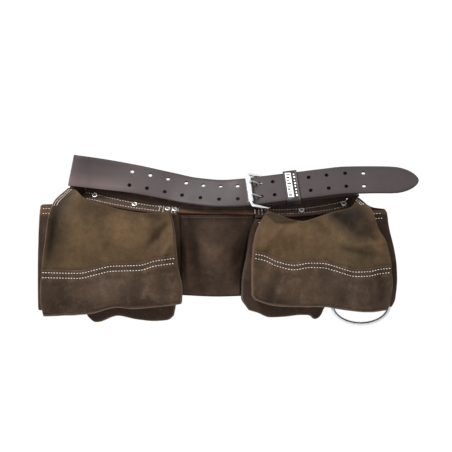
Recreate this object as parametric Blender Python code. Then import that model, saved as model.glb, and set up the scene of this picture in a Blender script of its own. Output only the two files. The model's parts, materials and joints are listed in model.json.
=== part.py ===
"""Suede tool apron with a two-inch leather belt, a roller buckle and a hanging hammer ring.

Frame: X to the right of the wearer's front view, Z up, the pockets face -Y, the back lies on y = 0.
All working numbers are millimetres and are scaled to metres when a mesh is made.
"""
import bpy
import bmesh
import math
from mathutils import Vector

for old in list(bpy.data.objects):
    bpy.data.objects.remove(old, do_unlink=True)

MM = 0.001
GAP = 0.3
# the drawing's zero stands this far above the part's own zero, which lies on the flat back
RISE = 50.0

# driving sizes of the belt
BELT_W = 50.8
BELT_T = 3.6
SUEDE = 2.0
HOLE_D = 6.0
HOLE_PITCH = 28.6
ROW_SPACING = 24.4
HOLE_COLUMNS = 14

# driving sizes of the buckle
WIRE_R = 2.5
RUN = 0.08
ROLLER_R = 4.6
FRAME_IN = 53.0
PRONG_R = 1.6

# belt front run: x, centre height, lean of the top edge away from the viewer, depth
FRONT = [(-224.0, 110.5, 1.0, -40.0), (-190.0, 106.0, 9.0, -41.0), (-136.0, 98.0, 22.0, -42.0),
         (-77.0, 86.2, 28.0, -44.0), (-36.0, 78.2, 32.0, -50.0), (9.0, 74.4, 32.0, -57.0),
         (44.0, 75.99, 29.5, -60.0), (50.0, 76.725, 29.5, -60.0), (80.0, 80.4, 29.5, -60.0),
         (133.0, 86.89, 29.5, -60.0), (170.0, 91.43, 29.5, -60.0), (178.0, 92.41, 29.5, -60.0),
         (205.0, 95.2, 30.0, -60.0), (250.0, 96.0, 32.0, -62.0),
         (290.0, 95.4, 33.0, -64.0), (322.0, 94.6, 33.0, -66.0)]
# belt run inside the sleeve
REAR = [(-222.0, 110.0, 9.0, -16.0), (-195.0, 103.0, 20.0, -19.0), (-165.0, 92.5, 31.0, -22.0),
        (-136.0, 83.0, 40.0, -24.0), (-86.0, 72.5, 48.0, -25.0), (8.0, 66.0, 51.0, -25.0),
        (96.0, 66.8, 50.0, -25.0), (134.0, 70.5, 46.0, -25.0), (171.0, 78.0, 40.0, -26.0),
        (205.0, 88.0, 33.0, -27.0), (216.0, 91.0, 31.0, -28.0)]
BAND_L = (-206.0, -60.4)
BAND_C = (-59.8, 60.2)
BAND_R = (60.8, 202.0)
FLAP_SIDE = 19.0
FLAP_MID = 12.0

BUCKLE_X = 52.0
HEEL_S = 28.5
HEEL_N = -10.8
FOLD_BACK = 21.0
FOLD_CLOSE = 10.0
FOLD_RIVET = 15.5

KEEPER_X = 119.0
KEEPER_W = 22.0
KEEPER_WALL = 2.2
KEEPER_PLAY = 1.0


def material(name, rgb, rough, metal):
    """One plain Principled material per node."""
    mat = bpy.data.materials.new(name)
    mat.use_nodes = True
    bsdf = mat.node_tree.nodes["Principled BSDF"]
    bsdf.inputs["Base Color"].default_value = (rgb[0], rgb[1], rgb[2], 1.0)
    bsdf.inputs["Roughness"].default_value = rough
    bsdf.inputs["Metallic"].default_value = metal
    mat.diffuse_color = (rgb[0], rgb[1], rgb[2], 1.0)
    return mat


LEATHER = ((0.125, 0.098, 0.095), 0.55, 0.0)
EDGE = ((0.060, 0.040, 0.035), 0.7, 0.0)
OLIVE = ((0.115, 0.075, 0.044), 0.9, 0.0)
BROWN = ((0.080, 0.052, 0.038), 0.9, 0.0)
DARK = ((0.060, 0.038, 0.028), 0.9, 0.0)
STEEL = ((0.80, 0.81, 0.82), 0.2, 1.0)
WHITE = ((0.80, 0.80, 0.78), 0.5, 0.0)


def finish(name, verts, faces, look, smooth=False):
    """Make one object from millimetre points."""
    mesh = bpy.data.meshes.new(name)
    mesh.from_pydata([(v[0] * MM, v[1] * MM, (v[2] + RISE) * MM) for v in verts], [], faces)
    obj = bpy.data.objects.new(name, mesh)
    bpy.context.scene.collection.objects.link(obj)
    work = bmesh.new()
    work.from_mesh(mesh)
    bmesh.ops.recalc_face_normals(work, faces=work.faces[:])
    bmesh.ops.triangulate(work, faces=[f for f in work.faces if len(f.verts) > 3])
    work.to_mesh(mesh)
    work.free()
    obj.data.materials.append(material(name, look[0], look[1], look[2]))
    for poly in mesh.polygons:
        poly.use_smooth = smooth
    return obj


def curve(table, x, col):
    """Smooth value of one column of a station table at x."""
    rows = table
    if x <= rows[0][0]:
        a, b = rows[0], rows[1]
        return a[col] + (x - a[0]) * (b[col] - a[col]) / (b[0] - a[0])
    if x >= rows[-1][0]:
        a, b = rows[-2], rows[-1]
        return b[col] + (x - b[0]) * (b[col] - a[col]) / (b[0] - a[0])
    k = 0
    while rows[k + 1][0] < x:
        k += 1
    a, b = rows[k], rows[k + 1]
    h = b[0] - a[0]
    d = (b[col] - a[col]) / h
    if k > 0:
        dl = (a[col] - rows[k - 1][col]) / (a[0] - rows[k - 1][0])
    else:
        dl = d
    if k + 2 < len(rows):
        dr = (rows[k + 2][col] - b[col]) / (rows[k + 2][0] - b[0])
    else:
        dr = d
    m0 = 0.0 if dl * d <= 0 else 2 * dl * d / (dl + d)
    m1 = 0.0 if dr * d <= 0 else 2 * dr * d / (dr + d)
    t = (x - a[0]) / h
    h00 = 2 * t ** 3 - 3 * t ** 2 + 1
    h10 = t ** 3 - 2 * t ** 2 + t
    h01 = -2 * t ** 3 + 3 * t ** 2
    h11 = t ** 3 - t ** 2
    return h00 * a[col] + h10 * h * m0 + h01 * b[col] + h11 * h * m1


def step(t):
    t = min(1.0, max(0.0, t))
    return t * t * (3 - 2 * t)


def line_frame(table, x):
    """Centre, direction, width and outward vectors of a belt run at x."""
    p = Vector((x, curve(table, x, 3), curve(table, x, 1)))
    e = 1.0
    q = Vector((x + e, curve(table, x + e, 3), curve(table, x + e, 1)))
    r = Vector((x - e, curve(table, x - e, 3), curve(table, x - e, 1)))
    t = (q - r).normalized()
    lean = math.radians(curve(table, x, 2))
    up = Vector((0, 0, 1))
    up = (up - t * up.dot(t)).normalized()
    back = Vector((0, 1, 0))
    back = (back - t * back.dot(t)).normalized()
    u = (up * math.cos(lean) + back * math.sin(lean)).normalized()
    n = u.cross(t).normalized()
    if n.y > 0:
        n = -n
    return p, t, u, n


def at(frame, s, u, n):
    """A point given in a frame's own directions."""
    p, ft, fu, fn = frame
    return p + ft * s + fu * u + fn * n


# ------------------------------------------------------------- belt centre line
def turn(f0, dir0, f1, dir1, steps, reach):
    """Frames of a smooth bend from the end of one run to the start of the next."""
    out = []
    p0, p1 = f0[0], f1[0]
    for k in range(1, steps):
        t = k / steps
        h00 = 2 * t ** 3 - 3 * t ** 2 + 1
        h10 = t ** 3 - 2 * t ** 2 + t
        h01 = -2 * t ** 3 + 3 * t ** 2
        h11 = t ** 3 - t ** 2
        pos = p0 * h00 + dir0 * (reach * h10) + p1 * h01 + dir1 * (reach * h11)
        dv = (p0 * (6 * t * t - 6 * t) + dir0 * (reach * (3 * t * t - 4 * t + 1))
              + p1 * (6 * t - 6 * t * t) + dir1 * (reach * (3 * t * t - 2 * t)))
        tan = dv.normalized()
        u = f0[2].lerp(f1[2], step(t))
        u = (u - tan * u.dot(tan)).normalized()
        out.append((pos, tan, u))
    return out


def spread(a, b, pitch):
    count = max(2, int(abs(b - a) / pitch + 0.5))
    return [a + (b - a) * k / count for k in range(count + 1)]


BUCKLE = line_frame(FRONT, BUCKLE_X)
FOLD_R = WIRE_R + 0.55 + BELT_T / 2
HEEL = at(BUCKLE, HEEL_S, 0, HEEL_N)
BT, BU, BN = BUCKLE[1], BUCKLE[2], BUCKLE[3]


UNDER_N = -(HEEL_N + FOLD_R)


def rear_stations():
    """Shared stations, so that the belt and its sleeves twist together."""
    marks = [BAND_L[0], BAND_L[1], BAND_C[0], BAND_C[1], BAND_R[0], BAND_R[1]]
    out = []
    for a, b in zip(marks[:-1], marks[1:]):
        count = max(1, int((b - a) / (9.5 if a < -100 else 13.0) + 0.5))
        out += [a + (b - a) * k / count for k in range(count)]
    out.append(marks[-1])
    return out


REAR_X = rear_stations()


TIP_X = 320.3
TIP_RUNS = (0.4, 2.0, 5.0, 10.0, 17.0, 26.0, 36.0)
TIP_ZONE = 43.0
BEND_X = -220.5


def belt_path():
    """Belt frames from the tongue's tip to the riveted end, as centre, direction and width."""
    path = []
    for x in [TIP_X - r for r in TIP_RUNS] + spread(TIP_X - 48.0, BEND_X, 12.0):
        p, t, u, n = line_frame(FRONT, x)
        path.append((p, -t, u))
    f0 = (path[-1][0], path[-1][1], path[-1][2])
    r = line_frame(REAR, REAR_X[0] - 12.5)
    path += turn(f0, f0[1], (r[0], r[1], r[2]), r[1], 12, 62.0)
    for x in [REAR_X[0] - 12.5] + REAR_X + [REAR_X[-1] + 4.0]:
        p, t, u, n = line_frame(REAR, x)
        path.append((p, t, u))
    f0 = path[-1]
    fr = line_frame(FRONT, 198.0)
    end = fr[0] - fr[3] * UNDER_N
    path += turn(f0, f0[1], (end, -fr[1], fr[2]), -fr[1], 12, 70.0)
    for x in spread(198.0, 92.0, 14.0):
        fr = line_frame(FRONT, x)
        path.append((fr[0] - fr[3] * UNDER_N, -fr[1], fr[2]))
    for k in range(0, 9):
        a = math.pi * k / 8
        pos = HEEL - BT * (FOLD_R * math.sin(a)) + BN * (FOLD_R * math.cos(a))
        path.append((pos, -BT * math.cos(a) - BN * math.sin(a), BU.copy()))
    for k in range(1, 7):
        s = FOLD_BACK * k / 6
        rise = (2 * FOLD_R - BELT_T - 0.5) * step(s / FOLD_CLOSE)
        path.append((HEEL + BT * s - BN * (FOLD_R - rise), BT.copy(), BU.copy()))
    out = []
    for k, (pos, tan, u) in enumerate(path):
        d = (path[min(k + 1, len(path) - 1)][0] - path[max(k - 1, 0)][0]).normalized()
        out.append((pos, d, (u - d * u.dot(d)).normalized()))
    return out


def sweep(name, rows, look, smooth=False, closed=False):
    """Closed skin through rows of section points, with end caps unless it is a loop."""
    verts = []
    faces = []
    m = len(rows[0])
    for row in rows:
        verts += [tuple(p) for p in row]
    n = len(rows)
    last = n if closed else n - 1
    for i in range(last):
        for j in range(m):
            a = i * m + j
            b = i * m + (j + 1) % m
            c = ((i + 1) % n) * m + (j + 1) % m
            d = ((i + 1) % n) * m + j
            faces.append((a, b, c, d))
    if not closed:
        faces.append(tuple(range(m)))
        faces.append(tuple((n - 1) * m + j for j in range(m)))
    return finish(name, verts, faces, look, smooth)


def tube_sweep(name, outer, inner, look):
    """Sleeve: two matching rings per station, open at both ends."""
    verts = []
    faces = []
    m = len(outer[0])
    n = len(outer)
    for row in outer:
        verts += [tuple(p) for p in row]
    base = len(verts)
    for row in inner:
        verts += [tuple(p) for p in row]
    for i in range(n - 1):
        for j in range(m):
            k = (j + 1) % m
            faces.append((i * m + j, i * m + k, (i + 1) * m + k, (i + 1) * m + j))
            faces.append((base + i * m + j, base + (i + 1) * m + j, base + (i + 1) * m + k, base + i * m + k))
    for i in (0, n - 1):
        for j in range(m):
            k = (j + 1) % m
            faces.append((i * m + j, base + i * m + j, base + i * m + k, i * m + k))
    return finish(name, verts, faces, look)


def rod(name, points, radius, look, sides=12, closed=False):
    """Round wire along points."""
    rows = []
    n = len(points)
    ref = None
    for i in range(n):
        if closed:
            t = (points[(i + 1) % n] - points[i - 1]).normalized()
        else:
            t = (points[min(i + 1, n - 1)] - points[max(i - 1, 0)]).normalized()
        if ref is None:
            ref = Vector((0, 1, 0)) if abs(t.y) < 0.9 else Vector((0, 0, 1))
        a = (ref - t * ref.dot(t)).normalized()
        ref = a
        b = t.cross(a)
        rows.append([points[i] + a * (radius * math.cos(2 * math.pi * j / sides))
                     + b * (radius * math.sin(2 * math.pi * j / sides)) for j in range(sides)])
    return sweep(name, rows, look, smooth=True, closed=closed)


def lathe(name, centre, axis, side, profile, look, sides=20):
    """Closed body of revolution from (along, radius) pairs; ends on the axis or forms a ring."""
    axis = axis.normalized()
    side = (side - axis * side.dot(axis)).normalized()
    other = axis.cross(side)
    verts = []
    faces = []
    ring = []
    for h, r in profile:
        if r < 1e-6:
            verts.append(tuple(centre + axis * h))
            ring.append([len(verts) - 1] * sides)
        else:
            idx = []
            for j in range(sides):
                w = 2 * math.pi * j / sides
                verts.append(tuple(centre + axis * h + side * (r * math.cos(w)) + other * (r * math.sin(w))))
                idx.append(len(verts) - 1)
            ring.append(idx)
    whole = profile[0][1] > 1e-6
    pairs = [(i, i + 1) for i in range(len(ring) - 1)]
    if whole:
        pairs.append((len(ring) - 1, 0))
    for i, k in pairs:
        for j in range(sides):
            q = (j + 1) % sides
            loop = []
            for v in (ring[i][j], ring[i][q], ring[k][q], ring[k][j]):
                if v not in loop:
                    loop.append(v)
            if len(loop) > 2:
                faces.append(tuple(loop))
    return finish(name, verts, faces, look, smooth=False)


def slab(name, rows, push, look):
    """Sheet of leather: a grid of front points and the push that makes its back."""
    verts = []
    faces = []
    n = len(rows)
    m = len(rows[0])
    for row in rows:
        verts += [tuple(p) for p in row]
    base = len(verts)
    for i in range(n):
        for j in range(m):
            verts.append(tuple(rows[i][j] + push[i][j]))
    for i in range(n - 1):
        for j in range(m - 1):
            a, b, c, d = i * m + j, i * m + j + 1, (i + 1) * m + j + 1, (i + 1) * m + j
            faces.append((a, b, c, d))
            faces.append((base + a, base + d, base + c, base + b))
    rim = [i * m for i in range(n)] + [(n - 1) * m + j for j in range(1, m)]
    rim += [i * m + m - 1 for i in range(n - 2, -1, -1)] + [j for j in range(m - 2, 0, -1)]
    for k in range(len(rim)):
        a = rim[k]
        b = rim[(k + 1) % len(rim)]
        faces.append((a, base + a, base + b, b))
    return finish(name, verts, faces, look)


def cut(target, cutters):
    """Boolean cuts that are applied at once, then the cutters are taken away."""
    for tool in cutters:
        mod = target.modifiers.new("cut", "BOOLEAN")
        mod.operation = "DIFFERENCE"
        mod.solver = "EXACT"
        mod.object = tool
    bpy.context.view_layer.update()
    graph = bpy.context.evaluated_depsgraph_get()
    made = bpy.data.meshes.new_from_object(target.evaluated_get(graph))
    target.modifiers.clear()
    old = target.data
    target.data = made
    made.name = target.name
    bpy.data.meshes.remove(old)
    for tool in cutters:
        bpy.data.objects.remove(tool, do_unlink=True)


def punch(centre, axis, radius, depth, sides=12):
    """Round cutter."""
    return lathe("cutter", centre, axis, Vector((0.3, 0.2, 0.9)),
                 [(-depth, 0.0), (-depth, radius), (depth, radius), (depth, 0.0)], EDGE, sides)


# ------------------------------------------------------------- belt strap
path = belt_path()
rows = []
for k, (pos, tan, u) in enumerate(path):
    nrm = tan.cross(u).normalized()
    half = BELT_W / 2
    run = TIP_X - pos.x
    if k <= len(TIP_RUNS) and run < TIP_ZONE:
        half = max(2.0, half * (1.0 - (1.0 - run / TIP_ZONE) ** 1.9) ** 0.6)
    a = nrm * (BELT_T / 2)
    rows.append([pos + u * half + a, pos + u * half - a, pos - a, pos - u * half - a, pos - u * half + a, pos + a])
belt_strap = sweep("belt_strap", rows, LEATHER)

FIRST_HOLE = BUCKLE_X + 9.8
cutters = []
hole_x = [FIRST_HOLE + HOLE_PITCH * (k - 7) for k in range(HOLE_COLUMNS)]
for k, x in enumerate(hole_x):
    fr = line_frame(FRONT, x)
    for side in (1, -1):
        if k == 7:
            continue
        c = at(fr, 0, side * ROW_SPACING / 2, 0)
        cutters.append(punch(c, fr[3], HOLE_D / 2, BELT_T * 0.5 + 0.9, 8))
cut(belt_strap, cutters)

# rivets of the belt's folded end
fold_cuts = []
for k, v in enumerate((13.0, -13.0)):
    hub = at(BUCKLE, HEEL_S + FOLD_RIVET, v, -UNDER_N)
    hi = BELT_T / 2 + GAP
    lo = -BELT_T * 1.5 - 0.5 - GAP
    lathe("fold_rivet_%d" % (k + 1), hub, BN, BU,
          [(lo - 0.8, 0.0), (lo - 0.8, 3.6), (lo, 4.0), (lo, 1.5), (hi, 1.5), (hi, 4.0), (hi + 0.6, 3.6),
           (hi + 0.6, 0.0)], STEEL, 10)
    fold_cuts.append(lathe("cutter", hub, BN, BU, [(lo - 2.0, 0.0), (lo - 2.0, 1.75), (hi + 0.5, 1.75),
                                                   (hi + 0.5, 0.0)], EDGE, 10))
cut(belt_strap, fold_cuts)

# ways for the prongs: through the tongue on a slant and through the folded end
ROLL = at(BUCKLE, 0, 0, BELT_T / 2 + 0.9 + ROLLER_R)
to_roll = ROLL - HEEL
to_roll = to_roll - BU * to_roll.dot(BU)
REST_GAP = 0.35
pitch = math.asin((ROLLER_R + PRONG_R + REST_GAP) / to_roll.length)
aim = to_roll.normalized()
lift = BU.cross(aim).normalized()
if lift.dot(BN) < 0:
    lift = -lift
prong_dir = (aim * math.cos(pitch) + lift * math.sin(pitch)).normalized()
PRONG_LEN = to_roll.length * math.cos(pitch) + 2.6
TIP = HEEL + prong_dir * PRONG_LEN
cutters = []
for side in (1, -1):
    base = HEEL + BU * (side * ROW_SPACING / 2)
    w = math.radians(2.4)
    d = (prong_dir * math.cos(w) + lift * math.sin(w)).normalized()
    rise = BU.cross(d).normalized()
    rows = []
    for reach in (8.5, 26.0):
        rows.append([base + d * reach + rise * (3.75 * math.cos(2 * math.pi * (j + 0.5) / 12))
                     + BU * (2.6 * math.sin(2 * math.pi * (j + 0.5) / 12)) for j in range(12)])
    cutters.append(sweep("cutter", rows, EDGE))
cut(belt_strap, cutters)
cutters = []
for side in (1, -1):
    c = HEEL + BU * (side * ROW_SPACING / 2)
    box = []
    for s in (-9.0, 6.0):
        for v in (-3.7, 3.55):
            for w in (-9.0, 9.0):
                box.append(tuple(c + BT * s + BU * v + BN * w))
    cutters.append(finish("cutter", box, [(0, 1, 3, 2), (4, 6, 7, 5), (0, 4, 5, 1), (2, 3, 7, 6),
                                          (0, 2, 6, 4), (1, 5, 7, 3)], EDGE))

# ------------------------------------------------------------- buckle
half_in = FRAME_IN / 2 + WIRE_R
front_c = ROLL.copy()
loop = []
corner = 5.0
length_dir = (HEEL - front_c)
length_dir = (length_dir - BU * length_dir.dot(BU)).normalized()
span = (HEEL - front_c).length
for cx, cy, a0 in ((span - corner, half_in - corner, 0), (corner, half_in - corner, 90),
                   (corner, -half_in + corner, 180), (span - corner, -half_in + corner, 270)):
    for k in range(5):
        w = math.radians(a0 + 90 * k / 4)
        s = cx + corner * math.cos(w)
        v = cy + corner * math.sin(w)
        loop.append(front_c + length_dir * s + BU * v)
buckle_frame = rod("buckle_frame", loop, WIRE_R, STEEL, 16, closed=True)
roll_half = half_in - corner - 0.5
buckle_roller = lathe("buckle_roller", front_c, BU, BN,
                      [(-roll_half, WIRE_R + RUN + 0.02), (-roll_half, ROLLER_R - 0.4), (-roll_half + 0.4, ROLLER_R),
                       (roll_half - 0.4, ROLLER_R), (roll_half, ROLLER_R - 0.4), (roll_half, WIRE_R + RUN + 0.02)],
                      STEEL, 20)
for side, label in ((1, "prong_upper"), (-1, "prong_lower")):
    base = HEEL + BU * (side * ROW_SPACING / 2)
    eye_in = WIRE_R + RUN + 0.02
    eye_out = eye_in + 2.3
    side_dir = BU.cross(prong_dir).normalized()
    wide = 2.4
    steps = 18
    reach = PRONG_LEN
    prof = []
    # eye drawn as a ring in the plane across the heel bar, the shank grows from it
    for k in range(steps):
        w = math.radians(14 + 332 * k / (steps - 1))
        radial = prong_dir * math.cos(w) + side_dir * math.sin(w)
        prof.append((base + radial * eye_in, base + radial * eye_out))
    ring_rows = []
    for pin, pout in prof:
        ring_rows.append([pin - BU * wide, pout - BU * wide, pout + BU * wide, pin + BU * wide])
    # shank: starts where the eye's two ends meet
    verts = [tuple(p) for row in ring_rows for p in row]
    faces = []
    nr = len(ring_rows)
    for i in range(nr - 1):
        for j in range(4):
            faces.append((i * 4 + j, i * 4 + (j + 1) % 4, (i + 1) * 4 + (j + 1) % 4, (i + 1) * 4 + j))
    # bridge between the last and the first eye section, opened on its outer side for the shank
    a0 = 0
    b0 = (nr - 1) * 4
    faces.append((b0 + 0, b0 + 3, a0 + 3, a0 + 0))
    ring_prev = [b0 + 1, a0 + 1, a0 + 2, b0 + 2]
    faces.append((b0 + 0, a0 + 0, a0 + 1, b0 + 1))
    faces.append((b0 + 3, b0 + 2, a0 + 2, a0 + 3))
    stations = [(eye_out + 2.0, PRONG_R * 1.05), (reach * 0.45, PRONG_R), (reach * 0.9, PRONG_R),
                (reach * 0.97, PRONG_R * 0.8), (reach, PRONG_R * 0.35)]
    first = True
    for dist, rad in stations:
        ring_now = []
        order = ((-1, -1), (1, -1), (1, 1), (-1, 1))
        mids = ((0, -1.25), (1.25, 0), (0, 1.25), (-1.25, 0))
        for (a1, b1), (a2, b2) in zip(order, mids):
            verts.append(tuple(base + prong_dir * dist + side_dir * (a1 * rad * 0.8) + BU * (b1 * rad * 0.8)))
            ring_now.append(len(verts) - 1)
            verts.append(tuple(base + prong_dir * dist + side_dir * (a2 * rad) + BU * (b2 * rad)))
            ring_now.append(len(verts) - 1)
        if first:
            quad = ring_prev
            corners = [ring_now[0], ring_now[2], ring_now[4], ring_now[6]]
            for q in range(4):
                e0, e1 = quad[q], quad[(q + 1) % 4]
                c0, c1 = corners[q], corners[(q + 1) % 4]
                mid = ring_now[q * 2 + 1]
                faces.append((e0, e1, mid))
                faces.append((e0, mid, c0))
                faces.append((e1, c1, mid))
            first = False
        else:
            for q in range(8):
                faces.append((prev[q], prev[(q + 1) % 8], ring_now[(q + 1) % 8], ring_now[q]))
        prev = ring_now
    faces.append(tuple(prev))
    finish(label, verts, faces, STEEL)
cut(belt_strap, cutters)

# ------------------------------------------------------------- keeper and its printed tab
mid_n = -UNDER_N / 2
in_u = BELT_W / 2 + KEEPER_PLAY
in_n = (BELT_T + UNDER_N) / 2 + KEEPER_PLAY
kf = line_frame(FRONT, KEEPER_X)


def keeper_ring(s, grow):
    pts = []
    hu = in_u + grow
    hn = in_n + grow
    r = 1.2 + grow
    for cu, cn, a0 in ((hu - r, hn - r, 0), (-hu + r, hn - r, 90), (-hu + r, -hn + r, 180), (hu - r, -hn + r, 270)):
        for k in range(4):
            w = math.radians(a0 + 90 * k / 3)
            pts.append(at(kf, s, cu + r * math.cos(w), mid_n + cn + r * math.sin(w)))
    return pts


outer = [keeper_ring(-KEEPER_W / 2 + KEEPER_W * k / 2, KEEPER_WALL) for k in range(3)]
inner = [keeper_ring(-KEEPER_W / 2 + KEEPER_W * k / 2, 0.0) for k in range(3)]
keeper_loop = tube_sweep("keeper_loop", outer, inner, LEATHER)
pad_n = mid_n + in_n + KEEPER_WALL + 0.1
pad = []
for v in (22.5, -22.5):
    pad.append([at(kf, s, v - 0.10 * s, pad_n + 0.5) for s in (-8.0, 1.0)])
push = [[-kf[3] * 0.5, -kf[3] * 0.5], [-kf[3] * 0.5, -kf[3] * 0.5]]
keeper_label = slab("keeper_label", pad, push, WHITE)

# ------------------------------------------------------------- sleeves that carry the belt
clear_u = BELT_W / 2 + 0.7
clear_n = BELT_T / 2 + 0.9


def band(name, ends, flap):
    """Suede sleeve with the sewn flap under it."""
    outer = []
    inner = []
    for x in [v for v in REAR_X if ends[0] - 0.01 <= v <= ends[1] + 0.01]:
        fr = line_frame(REAR, x)
        t = SUEDE
        ring_o = [(clear_u + t * 0.6, clear_n + 0.4), (clear_u + t, 0.0), (clear_u + t * 0.6, -clear_n - 0.4),
                  (clear_u * 0.7, -clear_n - t), (-clear_u + 2.0, -clear_n - t), (-clear_u - 3.0, -t - 0.15),
                  (-clear_u - flap, -t - 0.15), (-clear_u - flap, t + 0.15), (-clear_u - 3.0, t + 0.15),
                  (-clear_u + 2.0, clear_n + t), (clear_u * 0.7, clear_n + t)]
        ring_i = [(clear_u, clear_n * 0.9), (clear_u + 0.3, 0.0), (clear_u, -clear_n * 0.9),
                  (clear_u * 0.7, -clear_n), (-clear_u * 0.5, -clear_n), (-clear_u, -clear_n * 0.9),
                  (-clear_u - 0.4, -0.5), (-clear_u - 0.4, 0.5), (-clear_u, clear_n * 0.9),
                  (-clear_u * 0.5, clear_n), (clear_u * 0.7, clear_n)]
        outer.append([at(fr, 0, a, b) for a, b in ring_o])
        inner.append([at(fr, 0, a, b) for a, b in ring_i])
    return tube_sweep(name, outer, inner, BROWN)


band_left = band("band_left", BAND_L, FLAP_SIDE)
band_centre = band("band_centre", BAND_C, FLAP_MID)
band_right = band("band_right", BAND_R, FLAP_SIDE)

RIVETS = [(-185.0, 7.5), (-125.0, 8.5), (-76.5, 9.6), (-65.2, 10.0), (132.0, 10.0), (195.0, 10.0)]
rivet_cuts = {"L": [], "R": []}
for k, (x, drop) in enumerate(RIVETS):
    fr = line_frame(REAR, x)
    c = at(fr, 0, -clear_u - drop, 0)
    along = at(line_frame(REAR, x + 2.0), 0, -clear_u - drop, 0) - at(line_frame(REAR, x - 2.0), 0, -clear_u - drop, 0)
    square = fr[2].cross(along).normalized()
    if square.y > 0:
        square = -square
    face = SUEDE + 0.15 + 0.5
    lathe("band_rivet_%d" % (k + 1), c, square, fr[2],
          [(-face - 0.8, 0.0), (-face - 0.8, 3.6), (-face, 4.0), (-face, 1.5), (face, 1.5), (face, 4.4),
           (face + 1.2, 3.6), (face + 0.6, 1.9), (face + 0.6, 0.0)], STEEL, 10)
    rivet_cuts["L" if x < 0 else "R"].append(punch(c, square, 2.1, 4.5, 8))
cut(band_left, rivet_cuts["L"])
cut(band_right, rivet_cuts["R"])


# ------------------------------------------------------------- panels
def band_low(x):
    """Height, depth and lean of the sleeve flap's lower edge."""
    xx = min(206.0, max(-210.0, x))
    fr = line_frame(REAR, xx)
    flap = FLAP_SIDE
    if BAND_C[0] <= xx <= BAND_C[1]:
        flap = FLAP_MID
    edge = step((abs(xx) - 52.0) / 16.0)
    flap = FLAP_MID + (FLAP_SIDE - FLAP_MID) * edge
    p = at(fr, 0, -clear_u - flap, 0)
    lean = math.radians(curve(REAR, xx, 2))
    return p.z, p.y, lean


def y_back(x, z):
    """Front surface of the back panel."""
    zl, yl, lean = band_low(x)
    hang = yl + (SUEDE + 0.15 + 0.9) / math.cos(lean) + 1.4
    if z >= zl:
        return hang + (z - zl) * math.tan(lean)
    d = zl - z
    w = step(d / 58.0)
    return hang * (1 - w) + (-SUEDE) * w


SIDES = {
    "left": {
        "front_edge": [(84.0, -238.5), (58.0, -259.5), (0.0, -268.0), (-50.0, -274.5), (-94.0, -276.0),
                       (-118.0, -272.0)],
        "inner_edge": [(46.0, -77.0), (20.0, -69.5), (-8.0, -67.0), (-40.0, -64.0), (-80.0, -57.0),
                       (-99.0, -58.0)],
        "mouth": [(-238.5, 83.0), (-226.0, 80.0), (-205.0, 65.0), (-181.0, 56.5), (-148.0, 47.5),
                  (-109.0, 42.5), (-90.0, 42.5), (-77.0, 46.0)],
        "bottom": [(-272.0, -118.0), (-204.0, -114.5), (-156.0, -104.0), (-133.0, -106.0), (-84.0, -102.0),
                   (-58.0, -99.0)],
        "seam": [(-275.0, -45.5), (-215.0, -46.5), (-191.0, -41.5), (-164.0, -35.5), (-120.0, -34.0),
                 (-97.0, -27.5), (-64.0, -23.0)],
        "rear_outer": [(57.0, -282.5), (40.0, -284.0), (0.0, -285.5), (-72.0, -286.5), (-113.0, -285.5)],
        "rear_inner": [(38.0, -72.0), (0.0, -70.0), (-60.0, -66.0), (-110.0, -70.0), (-122.0, -72.0)],
        "rear_mouth": [(-282.5, 55.5), (-246.0, 54.5), (-215.0, 49.0), (-150.0, 38.0), (-72.0, 33.0)],
        "rear_bottom": [(-286.0, -111.0), (-213.0, -112.5), (-205.0, -123.0), (-195.0, -130.0), (-160.0, -120.0),
                        (-124.0, -126.5), (-100.0, -128.5), (-80.0, -127.0), (-72.0, -121.0)],
        "corner_y": (-31.0, -71.0),
    },
    "right": {
        "front_edge": [(67.0, 222.5), (60.0, 231.0), (47.0, 242.5), (18.0, 252.5), (-4.0, 265.0), (-41.0, 272.5),
                       (-73.0, 274.5), (-95.0, 271.5), (-108.0, 268.0)],
        "inner_edge": [(45.0, 80.5), (9.0, 63.0), (-21.0, 58.5), (-45.0, 57.5), (-84.0, 57.0), (-94.0, 62.0)],
        "mouth": [(80.0, 46.0), (97.0, 40.0), (116.0, 32.5), (134.0, 30.0), (146.0, 32.5), (165.0, 39.0), (182.0, 44.5),
                  (210.0, 52.0), (222.5, 66.0)],
        "bottom": [(60.0, -91.5), (74.0, -97.0), (93.0, -101.5), (129.0, -103.0), (168.0, -103.0),
                   (192.0, -106.5), (237.0, -111.5), (268.0, -108.5)],
        "seam": [(57.0, -16.0), (74.0, -19.5), (93.0, -28.0), (121.0, -34.0), (146.0, -30.5), (165.0, -31.0),
                 (182.0, -35.0), (201.0, -41.0), (215.0, -44.5), (237.0, -44.0), (254.0, -40.5), (273.0, -38.5)],
        "rear_outer": [(49.0, 266.0), (42.0, 269.5), (29.0, 272.5), (-32.0, 286.0), (-61.0, 288.0), (-93.0, 285.0),
                       (-110.0, 278.0)],
        "rear_inner": [(38.0, 64.0), (16.0, 56.0), (-24.0, 50.0), (-76.0, 42.0), (-92.0, 42.0), (-112.0, 53.0)],
        "rear_mouth": [(64.0, 33.0), (134.0, 27.0), (200.0, 36.0), (244.0, 46.5), (266.0, 48.0)],
        "rear_bottom": [(52.0, -111.0), (65.0, -115.0), (85.0, -122.5), (109.0, -121.0), (132.0, -118.5),
                        (148.0, -119.0), (156.0, -125.0), (163.0, -121.0), (171.0, -106.0), (200.0, -100.0),
                        (250.0, -101.0), (278.0, -106.0)],
        "corner_y": (-62.0, -71.0),
    },
}
FRONT_DEPTH = -94.0
MOUTH_DEPTH = -87.0
REAR_DEPTH = -50.0


def edge_x(table, z):
    """x of an edge given as (z, x) from top to bottom."""
    rows = sorted(table)
    return curve([(r[0], r[1]) for r in rows], z, 1)


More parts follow.
